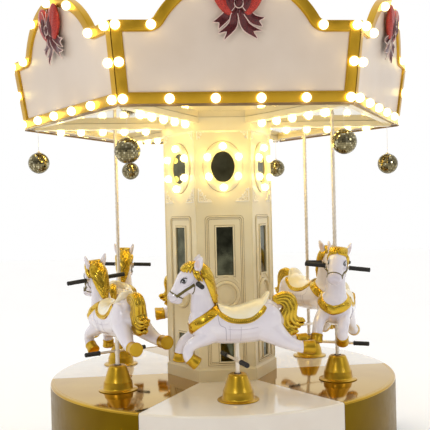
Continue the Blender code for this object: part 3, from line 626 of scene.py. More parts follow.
def columnDress():
    trim = bmesh.new()
    ring = bmesh.new()
    turned(ring, [(0.680, -0.004), (0.680, 0.006), (0.700, 0.011), (0.740, 0.0145), (0.790, 0.0155), (0.850, 0.0150),
                  (0.905, 0.0125), (0.945, 0.0090), (0.960, 0.0085), (0.985, 0.0075), (1.000, 0.0045), (1.000, -0.004),
                  (0.680, -0.004)], 72)
    join(trim, ring, Matrix.Translation((0, column["ovalHigh"], 0))
         @ Matrix.Diagonal((column["ovalRing"][0], column["ovalRing"][1], 1, 1)))
    half, low, high = column["frame"]
    bead(trim, boxOutline(half, low, high, column["frameChamfer"]), 0.008, 0.006, 0.0028, 0.002)
    bead(trim, boxOutline(half - 0.014, low + 0.014, high - 0.014, column["frameChamfer"] * 0.7), 0.004, 0.0035, 0.0015,
         0.002)
    for wide, low, high in (column["tallMirror"], column["lowMirror"]):
        bead(trim, boxOutline(wide + 0.009, low - 0.009, high + 0.009), 0.009, 0.007, 0.003, 0.002)
    brow = [(0.098 * math.cos(turn), column["medallionHigh"] + 0.012 + 0.108 * math.sin(turn), 0.002)
            for turn in [math.radians(34 + 112 * step / 8) for step in range(9)]]
    wire(trim, brow, 0.0055, 8, 2, (0, 0, 1))
    hoop = bmesh.new()
    inner, outer = column["medallionRing"]
    turned(hoop, [(inner, -0.002), (inner, 0.006), (inner + 0.004, 0.013), ((inner + outer) / 2, 0.015),
                  (outer - 0.004, 0.012), (outer, 0.005), (outer, -0.002), (inner, -0.002)], 48)
    turned(hoop, [(0.0, 0.006), (0.022, 0.0055), (0.040, 0.003), (0.049, -0.001), (0.051, -0.006)], 48)
    join(trim, hoop, Matrix.Translation((0, column["medallionHigh"], 0)))
    lace = bmesh.new()
    for low, up in column["brackets"]:
        bracket(lace, low, up)
    laceMesh = meshOf("columnLace", lace, 60)
    laceMesh.transform(toFace @ Matrix.Translation((0, 0, 0.0015)))
    onSixSides("columnLace", laceMesh, [laceCream], "turntable")
    # thin brown lines of painted shade round the frames, the mirrors, the oval and the medallion
    grooves = bmesh.new()
    half, low, high = column["frame"]
    shadeLine = column["shadeLine"]
    for out, cut in ((0.003, 1.0), (-0.0075, 0.9), (-0.0175, 0.6)):
        bead(grooves, boxOutline(half + out, low - out, high + out, column["frameChamfer"] * cut), *shadeLine)
    for wide, low, high in (column["tallMirror"], column["lowMirror"]):
        bead(grooves, boxOutline(wide + 0.012, low - 0.012, high + 0.012), *shadeLine)
    for centre, wide, high in ((column["ovalHigh"], *column["ovalRing"]),
                               (column["medallionHigh"], column["medallionRing"][1], column["medallionRing"][1]),
                               (column["medallionHigh"], column["medallionRing"][0], column["medallionRing"][0])):
        bead(grooves, ovalOutline(wide + 0.002, high + 0.002, centre), *shadeLine)
    shadeLineMesh = meshOf("columnShadeLines", grooves, 40)
    shadeLineMesh.transform(toFace)
    onSixSides("columnShadeLines", shadeLineMesh, [grooveShadePaint], "turntable")
    trimMesh = meshOf("columnTrim", trim, 40)
    trimMesh.transform(toFace)
    onSixSides("columnTrim", trimMesh, [creamPaint], "turntable")

    glass = bmesh.new()
    floor = -column["recess"] + 0.0005
    wide, high = column["ovalMirror"]
    plate(glass, ovalOutline(wide - 0.003, high - 0.003, column["ovalHigh"]), floor, floor + 0.005, 0.0025)
    for half, low, high in (column["tallMirror"], column["lowMirror"]):
        plate(glass, boxOutline(half - 0.001, low + 0.001, high - 0.001), floor, floor + 0.005, 0.003)
    glassMesh = meshOf("columnMirrors", glass, 20)
    glassMesh.transform(toFace)
    # the mirrors' dark, clouded tone is painted reflection
    onSixSides("columnMirrors", glassMesh, [darkReflectionMirror], "turntable")

    for number, place in enumerate(places):
        placings = [sideTurn(number) @ toFace @ Matrix.Translation((x, column["ovalHigh"] + y, 0.012))
                    for x, y in column["ovalBulbs"]]
        bulbRow(f"columnBulbs_{place}", placings, "turntable", 0.84, creamPaint, innerLitGlass)
    corner = bmesh.new()
    reach = column["cornerRadius"]
    low, high = deckTop + 0.085, beamFoot - 0.060
    for number in range(sides):
        turn = sideTurn(number) @ Matrix.Rotation(sixth / 2, 4, "Z")
        foot = turn @ Vector((0, -reach + 0.001, low))
        head = turn @ Vector((0, -reach + 0.001, high))
        rod(corner, foot, head, 0.0048, 10)
    putPiece("columnCornerBeads", meshOf("columnCorners", corner), [creamPaint], "turntable")


columnDress()
for name, coat in (("column", creamPaint), ("canopy_frame", creamPaint), ("roof", panelWhite),
                   ("ceiling_mirror", ceilingSilver)):
    nodes[name].data.materials.clear()
    nodes[name].data.materials.append(coat)
print("column made")


# Canopy: bulbs under the beams and a dark band of painted shade along the rim
canopy = {"cornerRadius": 1.250, "topRadius": 1.316, "foot": 2.026, "height": 0.421, "thick": 0.040,
          "beamBulbs": (0.470, 0.610, 0.750, 0.890, 1.020),
          "band": (0.618, 0.0142, 0.0016), "bandDrop": 0.0003}


def beamLights():
    for number, place in enumerate(corners):
        turn = sideTurn(number) @ Matrix.Rotation(sixth / 2, 4, "Z")
        hang = Matrix.Rotation(math.pi, 4, "X")
        placings = [turn @ Matrix.Translation((0, -reach, beamFoot)) @ hang for reach in canopy["beamBulbs"]]
        bulbRow(f"beamBulbs_{place}", placings, "turntable", 0.9, creamPaint, innerLitGlass)
    # a dark strip under the boards: painted shade
    band = bmesh.new()
    half, deep, thick = canopy["band"]
    drop = canopy["bandDrop"]
    plate(band, [(-half, -drop - deep), (half, -drop - deep), (half, -drop), (-half, -drop)], 0.0, thick, 0.0006)
    bandMesh = meshOf("rimShadeBand", band)
    bandMesh.transform(Matrix.Translation((0, -canopy["cornerRadius"] * apothem, canopy["foot"]))
                       @ Matrix.Rotation(math.pi / 2, 4, "X"))
    onSixSides("rimShadeBand", bandMesh, [rimShadePaint], "turntable")


beamLights()


# Rounding boards: each lies on its slope, x along the side, y up the slope, z out of its face
board = {"halfChord": 0.441, "rise": 0.259, "fillet": 0.040, "frameWidth": 0.055, "frameDepth": 0.014,
         "seam": 0.0030, "bulbInset": 0.026, "archBulbs": 0.190, "panelInset": 0.012, "bulbRow": 6}
lean = math.atan((canopy["topRadius"] - canopy["cornerRadius"]) * apothem / canopy["height"])
slope = canopy["height"] / math.cos(lean)
boardFoot = canopy["cornerRadius"] * apothem
layBoard = Matrix.Translation((0, -boardFoot, canopy["foot"])) @ Matrix.Rotation(math.pi / 2 + lean, 4, "X")


def archCurve():
    radius = (board["halfChord"] ** 2 + board["rise"] ** 2) / (2 * board["rise"])
    return radius, slope + board["rise"] - radius


def boardOutline(inset=0.0):
    # from the bottom right round over the arch to the bottom left
    radius, centre = archCurve()
    fillet = board["fillet"] + inset
    radius -= inset
    above = slope - inset + fillet - centre
    across = math.sqrt((radius + fillet) ** 2 - above ** 2)
    meet = math.atan2(above, across)
    spread = (canopy["topRadius"] - canopy["cornerRadius"]) / 2 / slope
    bottomHalf = canopy["cornerRadius"] / 2 + inset * spread - inset
    topHalf = canopy["topRadius"] / 2 - inset * (1 + spread)
    half = [(bottomHalf, inset), (topHalf, slope - inset)]
    for step in range(9):
        angle = -math.pi / 2 - (math.pi / 2 - meet) * step / 8
        half.append((across + fillet * math.cos(angle), slope - inset + fillet + fillet * math.sin(angle)))
    for step in range(1, 25):
        angle = meet + (math.pi / 2 - meet) * step / 24
        half.append((radius * math.cos(angle), centre + radius * math.sin(angle)))
    return half + [(-x, y) for x, y in reversed(half[:-1])]


def mitred(work):
    # trims a board that stands on its side to the planes between it and its neighbours
    for hand in (-1, 1):
        mitre = Vector((hand * math.cos(sixth / 2), math.sin(sixth / 2), 0.0))
        bmesh.ops.bisect_plane(work, geom=work.verts[:] + work.edges[:] + work.faces[:], dist=1e-6,
                               plane_co=mitre * -board["seam"], plane_no=mitre, clear_outer=True)
    closeHoles(work)


def roundingBoards():
    panel = bmesh.new()
    plate(panel, boardOutline(board["panelInset"]), -canopy["thick"] + 0.001, -board["frameDepth"], 0.0)
    bmesh.ops.transform(panel, matrix=layBoard, verts=panel.verts)
    mitred(panel)
    panelMesh = meshOf("boardPanel", panel)
    band = bmesh.new()
    bead(band, boardOutline(), board["frameWidth"], 0.0, 0.0045, canopy["thick"])
    bead(band, boardOutline(board["frameWidth"] - 0.001), 0.006, -0.006, 0.002, 0.016)
    bmesh.ops.transform(band, matrix=layBoard, verts=band.verts)
    mitred(band)
    bandMesh = meshOf("boardFrame", band, 40)
    onSixSides("boardPanel", panelMesh, [panelWhite], "turntable", "rounding_board")
    onSixSides("boardFrame", bandMesh, [frameGold], "turntable")

    radius, centre = archCurve()
    inset = board["bulbInset"]
    spots = []
    bottomHalf = canopy["cornerRadius"] / 2 - inset
    topHalf = canopy["topRadius"] / 2 - inset - 0.004
    spots += [(bottomHalf * (2 * step / (board["bulbRow"] - 1) - 1), inset) for step in range(board["bulbRow"])]
    middle = (bottomHalf + topHalf) / 2
    spots += [(hand * middle, slope * 0.5) for hand in (-1, 1)]
    spots += [(hand * topHalf, slope - inset) for hand in (-1, 1)]
    spots += [(hand * (board["halfChord"] + 0.006), slope - inset) for hand in (-1, 1)]
    rise = slope - inset + board["archBulbs"] - centre
    reach = radius - inset
    spots += [(hand * math.sqrt(reach ** 2 - rise ** 2), centre + rise) for hand in (-1, 1)]
    spots.append((0.0, centre + reach))
    for number, place in enumerate(places):
        placings = [sideTurn(number) @ layBoard @ Matrix.Translation((x, y, 0)) for x, y in spots]
        bulbRow(f"boardBulbs_{place}", placings, "turntable")


roundingBoards()
print("boards made")


# Bows: puffed loops, a knot and forked tails edged with cord; x along the board, y up it, z out of it
bow = {"high": 0.505, "knot": (0.024, 0.027, 0.018), "cord": 0.0026,
       "loop": ((0.062, 0.036, 0.016), (0.064, 0.102, 0.024), -13),
       "fold": ((0.040, 0.018, 0.024), (0.034, 0.066, 0.023), -9),
       "tails": (([(0.004, -0.010, 0.020), (-0.040, -0.044, 0.018), (-0.078, -0.080, 0.010), (-0.116, -0.112, 0.014)],
                  0.024),
                 ([(-0.002, -0.012, 0.016), (-0.020, -0.062, 0.022), (-0.030, -0.112, 0.012), (-0.090, -0.168, 0.014)],
                  0.024),
                 ([(0.002, -0.012, 0.016), (0.018, -0.064, 0.022), (0.044, -0.118, 0.012), (0.112, -0.158, 0.014)],
                  0.024),
                 ([(-0.004, -0.010, 0.020), (0.044, -0.046, 0.018), (0.082, -0.080, 0.010), (0.132, -0.094, 0.014)],
                  0.024))}


def tailPoint(row, half, along, across):
    # a point of a tail: narrow at the knot, forked and waved at the end
    along *= 1 - 0.16 * (1 - abs(across)) * along
    spot = along * (len(row) - 1)
    index = min(int(spot), len(row) - 2)
    ahead = (row[index + 1] - row[index]).normalized()
    side = Vector((-ahead.y, ahead.x, 0)).normalized()
    wide = half * (0.36 + 0.64 * math.sin(min(1, along * 1.5) * math.pi / 2))
    lift = 0.005 * (1 - across ** 2) + 0.0045 * math.sin(along * 8 + across * 1.5)
    return row[index].lerp(row[index + 1], spot - index) + side * across * wide + Vector((0, 0, lift))


def bowTails():
    tails, cords = bmesh.new(), bmesh.new()
    for spine, half in bow["tails"]:
        row = smoothRow(spine, 8)
        strip = bmesh.new()
        bmesh.ops.create_grid(strip, x_segments=24, y_segments=8, size=1.0)
        for vert in strip.verts:
            vert.co = tailPoint(row, half, (vert.co.x + 1) / 2, vert.co.y)
        bmesh.ops.solidify(strip, geom=strip.faces[:], thickness=0.003)
        join(tails, strip)
        edge = [tailPoint(row, half, step / 12, -1) for step in range(2, 13)]
        edge += [tailPoint(row, half, 1.0, across) for across in (-0.5, 0, 0.5)]
        edge += [tailPoint(row, half, step / 12, 1) for step in range(12, 1, -1)]
        wire(cords, edge, bow["cord"], 6, 2, (0, 0, 1))
    return tails, cords


def puffed(work, form, hand):
    # a padded lobe of ribbon, creased towards the knot
    (x, y, z), (wide, high, deep), tilt = form
    lobe = bmesh.new()
    bmesh.ops.create_uvsphere(lobe, u_segments=40, v_segments=24, radius=1.0)
    for vert in lobe.verts:
        crease = 1 + 0.07 * math.cos(math.atan2(vert.co.x, vert.co.y + 1.15) * 15) * max(0.0, vert.co.z)
        taper = 1 - 0.34 * max(0.0, -vert.co.y) ** 1.5
        vert.co = Vector((vert.co.x * wide * taper, vert.co.y * high, vert.co.z * deep * crease))
    join(work, lobe, Matrix.Translation((hand * x, y, z)) @ Matrix.Rotation(math.radians(hand * tilt), 4, "Z"))


def bows():
    loops = bmesh.new()
    tails, cords = bowTails()
    for hand in (-1, 1):
        puffed(loops, bow["loop"], hand)
        puffed(tails, bow["fold"], hand)
        rim = [(hand * (0.062 + 0.054 * math.sin(turn)), 0.034 + 0.086 * math.cos(turn), 0.037)
               for turn in [math.radians(-150 + 120 * step / 8) for step in range(9)]]
        wire(cords, rim, bow["cord"] * 0.8, 6, 2, (0, 0, 1))
    knot = bmesh.new()
    bmesh.ops.create_uvsphere(knot, u_segments=28, v_segments=16, radius=1.0)
    for vert in knot.verts:
        pleat = 1 + 0.07 * math.cos(math.atan2(vert.co.z, vert.co.x) * 9)
        vert.co = Vector((vert.co.x * bow["knot"][0] * pleat, vert.co.y * bow["knot"][1],
                          vert.co.z * bow["knot"][2] * pleat + 0.030))
    join(tails, knot)
    hoop = [(0.024 * math.cos(turn), 0.027 * math.sin(turn), 0.042) for turn in
            [math.tau * step / 12 for step in range(13)]]
    wire(cords, hoop, bow["cord"], 6, 2, (0, 0, 1))
    lay = layBoard @ Matrix.Translation((0, bow["high"], -0.0002))
    for work, name, coat in ((loops, "bowLoops", bowGlitter), (tails, "bowTails", tailGlitter),
                             (cords, "bowCords", cordPale)):
        mesh = meshOf(name, work, 50)
        mesh.transform(lay)
        onSixSides(name, mesh, [coat], "turntable", "bow" if name == "bowLoops" else None)


bows()
print("bows made")


# Mirror balls: rows of small tiles on a core, hung by a cap and a thread
ball = {"radius": 0.068, "tilesRound": 40, "tileRows": 20, "joint": 0.0008, "tilt": 0.00022, "cap": 0.013,
        "eye": 0.004}


def tileOrder(face):
    # row and place in the row: a new sphere's faces come in another order each run, and the draws need a fixed one
    centre = face.calc_center_median()
    row = math.acos(centre.z / centre.length) * ball["tileRows"] / math.pi
    place = (math.atan2(centre.y, centre.x) + math.pi) * ball["tilesRound"] / math.tau
    return int(row), int(place)


def cornerOrder(face):
    # a tile's corners, lower ones first, in a fixed order too
    centre = face.calc_center_median()
    return sorted(face.verts, key=lambda vert: (vert.co.z > centre.z,
                                                centre.x * vert.co.y > centre.y * vert.co.x))


def mirrorBalls():
    for number, corner in enumerate(corners):
        low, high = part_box(f"mirror_ball_{corner}")
        centre = Vector(((low.x + high.x) / 2, (low.y + high.y) / 2, low.z + ball["radius"]))
        tiles = bmesh.new()
        bmesh.ops.create_uvsphere(tiles, u_segments=ball["tilesRound"], v_segments=ball["tileRows"],
                                  radius=ball["radius"] - 0.0008)
        core = sorted(tiles.faces, key=tileOrder)
        bmesh.ops.inset_individual(tiles, faces=core, thickness=ball["joint"])
        lifted = sorted(bmesh.ops.extrude_discrete_faces(tiles, faces=core)["faces"], key=tileOrder)
        paintedReflection = tiles.verts.layers.float_color.new("tint")
        for face in lifted:
            face.material_index = 1
            # painted reflection: each tile gets a random tone from dark to light
            tone = random.random() ** 1.6
            normal = face.normal.copy()
            for vert in cornerOrder(face):
                vert.co += normal * (0.0008 + random.uniform(-1, 1) * ball["tilt"])
                vert[paintedReflection] = (tone, 0, 0, 1)
        mesh = meshOf("mirrorBall", tiles, 8, 1e-7)
        piece = putPiece(f"tiledBall_{corner}", mesh, [darkSeam, paintedReflectionTiles], f"ball_{corner}",
                         Matrix.Translation(centre))
        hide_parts(f"mirror_ball_{corner}")
        fitting = bmesh.new()
        cap = bmesh.new()
        top = ball["radius"]
        turned(cap, [(0.0, top - 0.003), (0.017, top - 0.004), (0.017, top - 0.001), (ball["cap"], top + 0.001),
                     (0.006, top + 0.007), (0.0028, top + 0.010), (0.0, top + 0.0105)], 28)
        join(fitting, cap, Matrix.Translation(centre))
        hang = high.z - ball["eye"]
        loopRound = bmesh.new()
        bmesh.ops.create_circle(loopRound, segments=8, radius=0.0009, matrix=Matrix.Translation((0.0030, 0, 0))
                                @ Matrix.Rotation(math.pi / 2, 4, "X"))
        bmesh.ops.spin(loopRound, geom=loopRound.verts[:] + loopRound.edges[:], axis=(0, 0, 1), cent=(0, 0, 0),
                       angle=math.tau, steps=16, use_merge=True)
        upright = Matrix.Rotation(math.pi / 2, 4, "X")
        join(fitting, loopRound, Matrix.Translation((centre.x, centre.y, hang)) @ upright)
        rod(fitting, centre + Vector((0, 0, top)), (centre.x, centre.y, hang - 0.002), 0.0010, 6)
        putPiece(f"ballThread_{corner}", meshOf("ballThread", fitting), [poleSteel], f"ball_{corner}")


mirrorBalls()
print("mirror balls made")


# Horses: x forward, y to the outside, z above the deck, the pole on the z axis
horse = {
    # for each lump of clay: voxel size, rounds and strength of smoothing, share of the faces kept
    "clay": {"horseSkin": (0.0046, 6, 0.5, 0.36), "horseEars": (0.0020, 3, 0.5, 0.25),
             "horseTrunk": (0.006, 5, 0.5, 1.0), "horseSaddle": (0.0040, 6, 0.5, 0.20),
             "horseMane": (0.0024, 2, 0.45, 0.24), "horseTail": (0.0026, 4, 0.45, 0.24)},
    "seats": {"front": (0.0, 0.0, 2.0, 0.0), "front_right": (10.0, 8.5, 6.0, 0.016),
              "back_right": (-5.0, -0.5, 3.5, 0.020), "back": (0.0, 1.0, 3.0, 0.0),
              "back_left": (22.0, 3.0, -2.0, 0.012), "front_left": (-2.5, -2.5, 5.0, 0.0)},
    "tiltHeight": 0.430, "handTurn": 5.0,
    "torso": [(-0.258, 0, 0.470, 0.030, 0.028), (-0.248, 0, 0.466, 0.062, 0.058), (-0.222, 0, 0.462, 0.092, 0.084),
              (-0.180, 0, 0.455, 0.108, 0.102), (-0.120, 0, 0.440, 0.114, 0.108), (-0.050, 0, 0.426, 0.106, 0.106),
              (0.030, 0, 0.420, 0.101, 0.106), (0.100, 0, 0.426, 0.104, 0.104), (0.165, 0, 0.436, 0.106, 0.100),
              (0.215, 0, 0.436, 0.094, 0.088), (0.250, 0, 0.432, 0.068, 0.066), (0.268, 0, 0.430, 0.034, 0.036)],
    "neck": [(0.154, 0, 0.440, 0.092, 0.082), (0.180, 0, 0.490, 0.079, 0.072), (0.191, 0, 0.545, 0.067, 0.060),
             (0.192, 0, 0.600, 0.060, 0.053), (0.196, 0, 0.655, 0.058, 0.050), (0.208, 0, 0.705, 0.054, 0.048),
             (0.226, 0, 0.745, 0.034, 0.036)],
    "head": [(0.180, 0, 0.722, 0.020, 0.022), (0.197, 0, 0.720, 0.044, 0.046), (0.224, 0, 0.708, 0.062, 0.054),
             (0.257, 0, 0.685, 0.072, 0.058), (0.287, 0, 0.657, 0.062, 0.051), (0.314, 0, 0.627, 0.048, 0.044),
             (0.336, 0, 0.603, 0.040, 0.042), (0.352, 0, 0.588, 0.038, 0.041), (0.365, 0, 0.577, 0.030, 0.033),
             (0.372, 0, 0.571, 0.014, 0.016)],
    "foreNear": [(0.135, 0.046, 0.405, 0.072, 0.046), (0.185, 0.058, 0.370, 0.050, 0.042),
                 (0.228, 0.067, 0.350, 0.038, 0.037), (0.264, 0.071, 0.330, 0.034, 0.034),
                 (0.281, 0.072, 0.304, 0.031, 0.032), (0.281, 0.072, 0.280, 0.030, 0.031),
                 (0.273, 0.072, 0.263, 0.033, 0.033), (0.264, 0.072, 0.254, 0.030, 0.030)],
    "foreFar": [(0.135, 0.046, 0.405, 0.072, 0.046), (0.200, 0.058, 0.380, 0.050, 0.042),
                (0.250, 0.067, 0.352, 0.038, 0.037), (0.290, 0.071, 0.324, 0.034, 0.034),
                (0.311, 0.072, 0.298, 0.031, 0.032), (0.317, 0.072, 0.274, 0.030, 0.031),
                (0.318, 0.072, 0.257, 0.033, 0.033), (0.319, 0.072, 0.246, 0.030, 0.030)],
    "hind": [(-0.130, 0.050, 0.430, 0.085, 0.052), (-0.185, 0.057, 0.395, 0.078, 0.052),
             (-0.228, 0.067, 0.361, 0.059, 0.046), (-0.268, 0.079, 0.334, 0.044, 0.040),
             (-0.305, 0.088, 0.316, 0.036, 0.035), (-0.336, 0.094, 0.305, 0.033, 0.033),
             (-0.356, 0.097, 0.302, 0.035, 0.035), (-0.368, 0.097, 0.301, 0.031, 0.031)],
    "hooves": [((0.273, 0.072, 0.2615), (0.229, 0.072, 0.226), 0.0385),
               ((0.3175, -0.072, 0.260), (0.325, -0.072, 0.214), 0.0385),
               ((-0.357, 0.097, 0.302), (-0.423, 0.0985, 0.299), 0.0405),
               ((-0.357, -0.097, 0.302), (-0.423, -0.0985, 0.299), 0.0405)],
    "bulges": [((-0.165, 0.060, 0.452), (0.085, 0.050, 0.095)), ((0.172, 0.056, 0.428), (0.066, 0.046, 0.082)),
               ((0.258, 0.034, 0.658), (0.046, 0.026, 0.046)), ((0.349, 0.018, 0.590), (0.032, 0.026, 0.032)),
               ((0.286, 0.031, 0.704), (0.026, 0.020, 0.018)), ((0.328, 0.0, 0.568), (0.028, 0.026, 0.018))],
    "ear": [(0.217, 0.040, 0.732, 0.012, 0.012), (0.215, 0.046, 0.748, 0.020, 0.015),
            (0.212, 0.053, 0.768, 0.024, 0.016), (0.207, 0.059, 0.787, 0.022, 0.014),
            (0.201, 0.064, 0.804, 0.015, 0.010), (0.196, 0.068, 0.819, 0.006, 0.005)],
    "eye": (0.293, 0.684), "handBar": (0.222, 0.668),
    # place, radius and depth of each dent: eye socket, nostril, cheek, throat
    "dents": (((0.296, 0.054, 0.684), 0.026, 0.004), ((0.372, 0.024, 0.592), 0.010, 0.005),
              ((0.330, 0.046, 0.628), 0.026, 0.003), ((0.222, 0.058, 0.602), 0.030, 0.004)),
    "earDents": (((0.219, 0.068, 0.779), 0.017, 0.0085), ((0.222, 0.062, 0.762), 0.015, 0.0075),
                 ((0.212, 0.072, 0.796), 0.012, 0.0055)),
    # width and (x, z) points of each fine line: cloth, girth front and back, cloth edge, mouth, cheek
    "lines": [(0.0036, (0.115, 0.512), (0.108, 0.455), (0.096, 0.437), (0.074, 0.424), (0.070, 0.380), (0.068, 0.350)),
              (0.0022, (0.050, 0.436), (0.048, 0.390), (0.047, 0.345)),
              (0.0022, (-0.012, 0.430), (-0.012, 0.385), (-0.012, 0.345)),
              (0.0020, (0.058, 0.417), (0.000, 0.413), (-0.060, 0.415), (-0.108, 0.424)),
              (0.0024, (0.366, 0.570), (0.350, 0.573), (0.336, 0.580)),
              (0.0020, (0.240, 0.722), (0.236, 0.700), (0.246, 0.678), (0.268, 0.662), (0.296, 0.652))],
}


def mirrored(stations):
    return [(x, -y, *rest) for x, y, *rest in stations]


def horseTrunk(work):
    loft(work, horse["torso"], 20)
    loft(work, horse["neck"], 18)
    loft(work, horse["head"], 18)
    for (x, y, z), (deep, wide, tall) in horse["bulges"]:
        for hand in (-1, 1):
            lump = Matrix.Translation((x, hand * y, z)) @ Matrix.Diagonal((deep, wide, tall, 1))
            bmesh.ops.create_uvsphere(work, u_segments=16, v_segments=10, radius=1.0, matrix=lump)


def horseSkin():
    work = bmesh.new()
    horseTrunk(work)
    for leg in (horse["foreNear"], mirrored(horse["foreFar"]), horse["hind"], mirrored(horse["hind"])):
        loft(work, leg, 14)
    return fused("horseSkin", work, *horse["clay"]["horseSkin"])


def horseEars():
    # leaf-shaped ears, hollowed on the side that faces out and forward
    work = bmesh.new()
    for stations in (horse["ear"], mirrored(horse["ear"])):
        loft(work, stations, 16, 5)
    mesh = fused("horseEars", work, *horse["clay"]["horseEars"])
    for hand in (-1, 1):
        for (x, y, z), radius, depth in horse["earDents"]:
            pressed(mesh, (x, hand * y, z), radius, depth)
    mesh.update()
    paintTint(mesh, earShade)
    return mesh


def earShade(vert):
    x, y, z = vert.co
    inner = min((vert.co - Vector((0.217, math.copysign(0.063, y), high))).length for high in (0.764, 0.776, 0.788))
    return (max(0.0, min(0.7, (1 - inner / 0.015) * 2.0)), 0.0, 0.0)


def pressed(mesh, centre, radius, depth):
    # moves the skin in, or out where depth is negative, round a point
    centre = Vector(centre)
    for vert in mesh.vertices:
        away = (vert.co - centre).length / radius
        if away < 1:
            vert.co -= vert.normal * depth * (1 - away ** 2) ** 2


skinMesh = horseSkin()
for hand in (-1, 1):
    for (x, y, z), radius, depth in horse["dents"]:
        pressed(skinMesh, (x, hand * y, z), radius, depth)
skinMesh.update()


# the green channel: painted shade under the front of the muzzle and in the nostril hollows
def skinShade(vert):
    x, y, z = vert.co
    muzzle = max(0.0, min(1.0, (x - 0.345) / 0.04)) * 0.45
    nostril = max(0.0, 1 - (vert.co - Vector((0.372, math.copysign(0.024, y), 0.592))).length / 0.008)
    return (0.0, max(muzzle * (z < 0.62), nostril), 0.0)


def treeOf(mesh):
    return BVHTree.FromPolygons([vert.co.copy() for vert in mesh.vertices],
                                [tuple(face.vertices) for face in mesh.polygons])


paintTint(skinMesh, skinShade)
skinTree = treeOf(skinMesh)
trunkWork = bmesh.new()
horseTrunk(trunkWork)
trunkMesh = fused("horseTrunk", trunkWork, *horse["clay"]["horseTrunk"])
trunkTree = treeOf(trunkMesh)
bpy.data.meshes.remove(trunkMesh)
print("horse skin made:", len(skinMesh.polygons), "faces")


def fromSide(hand, x, z, tree=skinTree):
    # where a line from the side meets the skin, and the way out of it there
    spot, normal, _, _ = tree.ray_cast(Vector((x, hand * 0.5, z)), Vector((0, -hand, 0)))
    if spot is None:
        spot, normal, _, _ = tree.find_nearest(Vector((x, hand * 0.05, z)))
    return spot, normal


def fromAxis(centre, way, tree=skinTree, reach=0.4):
    # the same for a line that runs in towards a point inside
    way = Vector(way).normalized()
    spot, normal, _, _ = tree.ray_cast(Vector(centre) + way * reach, -way)
    if spot is None:
        spot, normal, _, _ = tree.find_nearest(Vector(centre) + way * 0.1)
    return spot, normal


def wrapped(lay, rows, columns, thick):
    # a sheet laid on the skin: lay gives each point's place and the way out, then the sheet gets its thickness
    work = bmesh.new()
    bmesh.ops.create_grid(work, x_segments=rows, y_segments=columns, size=1.0)
    for vert in work.verts:
        spot, lift = lay(vert.co.x, vert.co.y)
        vert.co = spot + lift
    bmesh.ops.recalc_face_normals(work, faces=work.faces)
    outward = sum((face.normal.dot(face.calc_center_median() - Vector((0, 0, 0.44))) for face in work.faces))
    if outward < 0:
        bmesh.ops.reverse_faces(work, faces=work.faces)
    bmesh.ops.solidify(work, geom=work.faces[:], thickness=thick)
    return work


def domed(across, height, sunk=0.0015):
    # the lift of a band whose edges roll down into the skin
    return height * math.sqrt(max(0.0, 1 - abs(across) ** 6)) - sunk


def strap(work, points, width, height, hand=None, segments=8):
    # a narrow strap on the skin through points given as (x, z) on one side
    row = smoothRow([(x, 0.0, z) for x, z in points], 5)
    spots = [fromSide(hand, spot.x, spot.z) for spot in row]
    placings = []
    for index, (spot, normal) in enumerate(spots):
        ahead = (spots[min(index + 1, len(spots) - 1)][0] - spots[max(index - 1, 0)][0]).normalized()
        side = ahead.cross(normal).normalized()
        up = side.cross(ahead).normalized()
        turn = Matrix((side, up, ahead)).transposed().to_4x4()
        placings.append(Matrix.Translation(spot) @ turn @ Matrix.Diagonal((width / 2, height, 1, 1)))
    swept(work, placings, segments)


collar = {"withers": (0.1205, 0, 0.513), "chest": (0.2620, 0, 0.4240), "halfWidth": 0.0235, "widening": 0.0060,
          "point": 0.020, "height": 0.0075, "thick": 0.005, "studs": ((0.153, 0.489, 1.0), (0.229, 0.452, 0.9)),
          "stud": [(0.0, 0.0062), (0.0035, 0.0055), (0.0055, 0.0030), (0.0068, 0.0018), (0.0085, 0.0024),
                   (0.0100, 0.0042), (0.0120, 0.0036), (0.0132, 0.0), (0.0132, -0.003)]}


def horseCollar():
    # a broad band round the base of the neck, dipping to a point on the chest, with ringed studs
    withers, chest = Vector(collar["withers"]), Vector(collar["chest"])
    middle = (withers + chest) / 2
    back = (withers - chest).normalized()
    square = Vector((-back.z, 0, back.x)) * -1

    def lay(along, across):
        turn = (along + 1) * math.pi + 0.0013
        low = (1 - math.cos(turn)) / 2
        dip = max(0.0, 0.36 - abs(along)) / 0.36
        wide = collar["halfWidth"] + collar["widening"] * low
        shift = square * (across * wide - collar["point"] * dip ** 1.3 + 0.004)
        spot, normal = fromAxis(middle + shift, back * math.cos(turn) + Vector((0, 1, 0)) * math.sin(turn), trunkTree)
        return spot, normal * domed(across, collar["height"])

    work = wrapped(lay, 81, 8, collar["thick"])
    studs = bmesh.new()
    for hand in (-1, 1):
        for x, z, size in collar["studs"]:
            spot, normal = fromSide(hand, x, z, trunkTree)
            stand = Matrix.Translation(spot + normal * 0.0055) @ normal.to_track_quat("Z", "Y").to_matrix().to_4x4()
            boss = bmesh.new()
            turned(boss, collar["stud"], 24)
            join(studs, boss, stand @ Matrix.Scale(size, 4))
    join(work, studs)
    return meshOf("horseCollar", work, 50)


saddle = {"middle": -0.022, "half": 0.128, "spread": 80, "height": 0.010, "thick": 0.009,
          "seat": [(0.112, 0, 0.520, 0.014, 0.036), (0.080, 0, 0.502, 0.024, 0.066), (0.040, 0, 0.490, 0.028, 0.084),
                   (-0.010, 0, 0.487, 0.030, 0.090), (-0.060, 0, 0.490, 0.031, 0.091),
                   (-0.100, 0, 0.500, 0.031, 0.086), (-0.130, 0, 0.521, 0.026, 0.077),
                   (-0.152, 0, 0.551, 0.018, 0.067), (-0.168, 0, 0.577, 0.014, 0.055),
                   (-0.179, 0, 0.595, 0.011, 0.041), (-0.184, 0, 0.605, 0.006, 0.022)],
          "braid": [(0.108, 0.506), (0.084, 0.488), (0.044, 0.467), (-0.014, 0.459), (-0.072, 0.467), (-0.122, 0.499),
                    (-0.152, 0.532)],
          "braidHalf": 0.0160, "braidHeight": 0.0085, "beads": 31, "beadRadius": 0.0040}


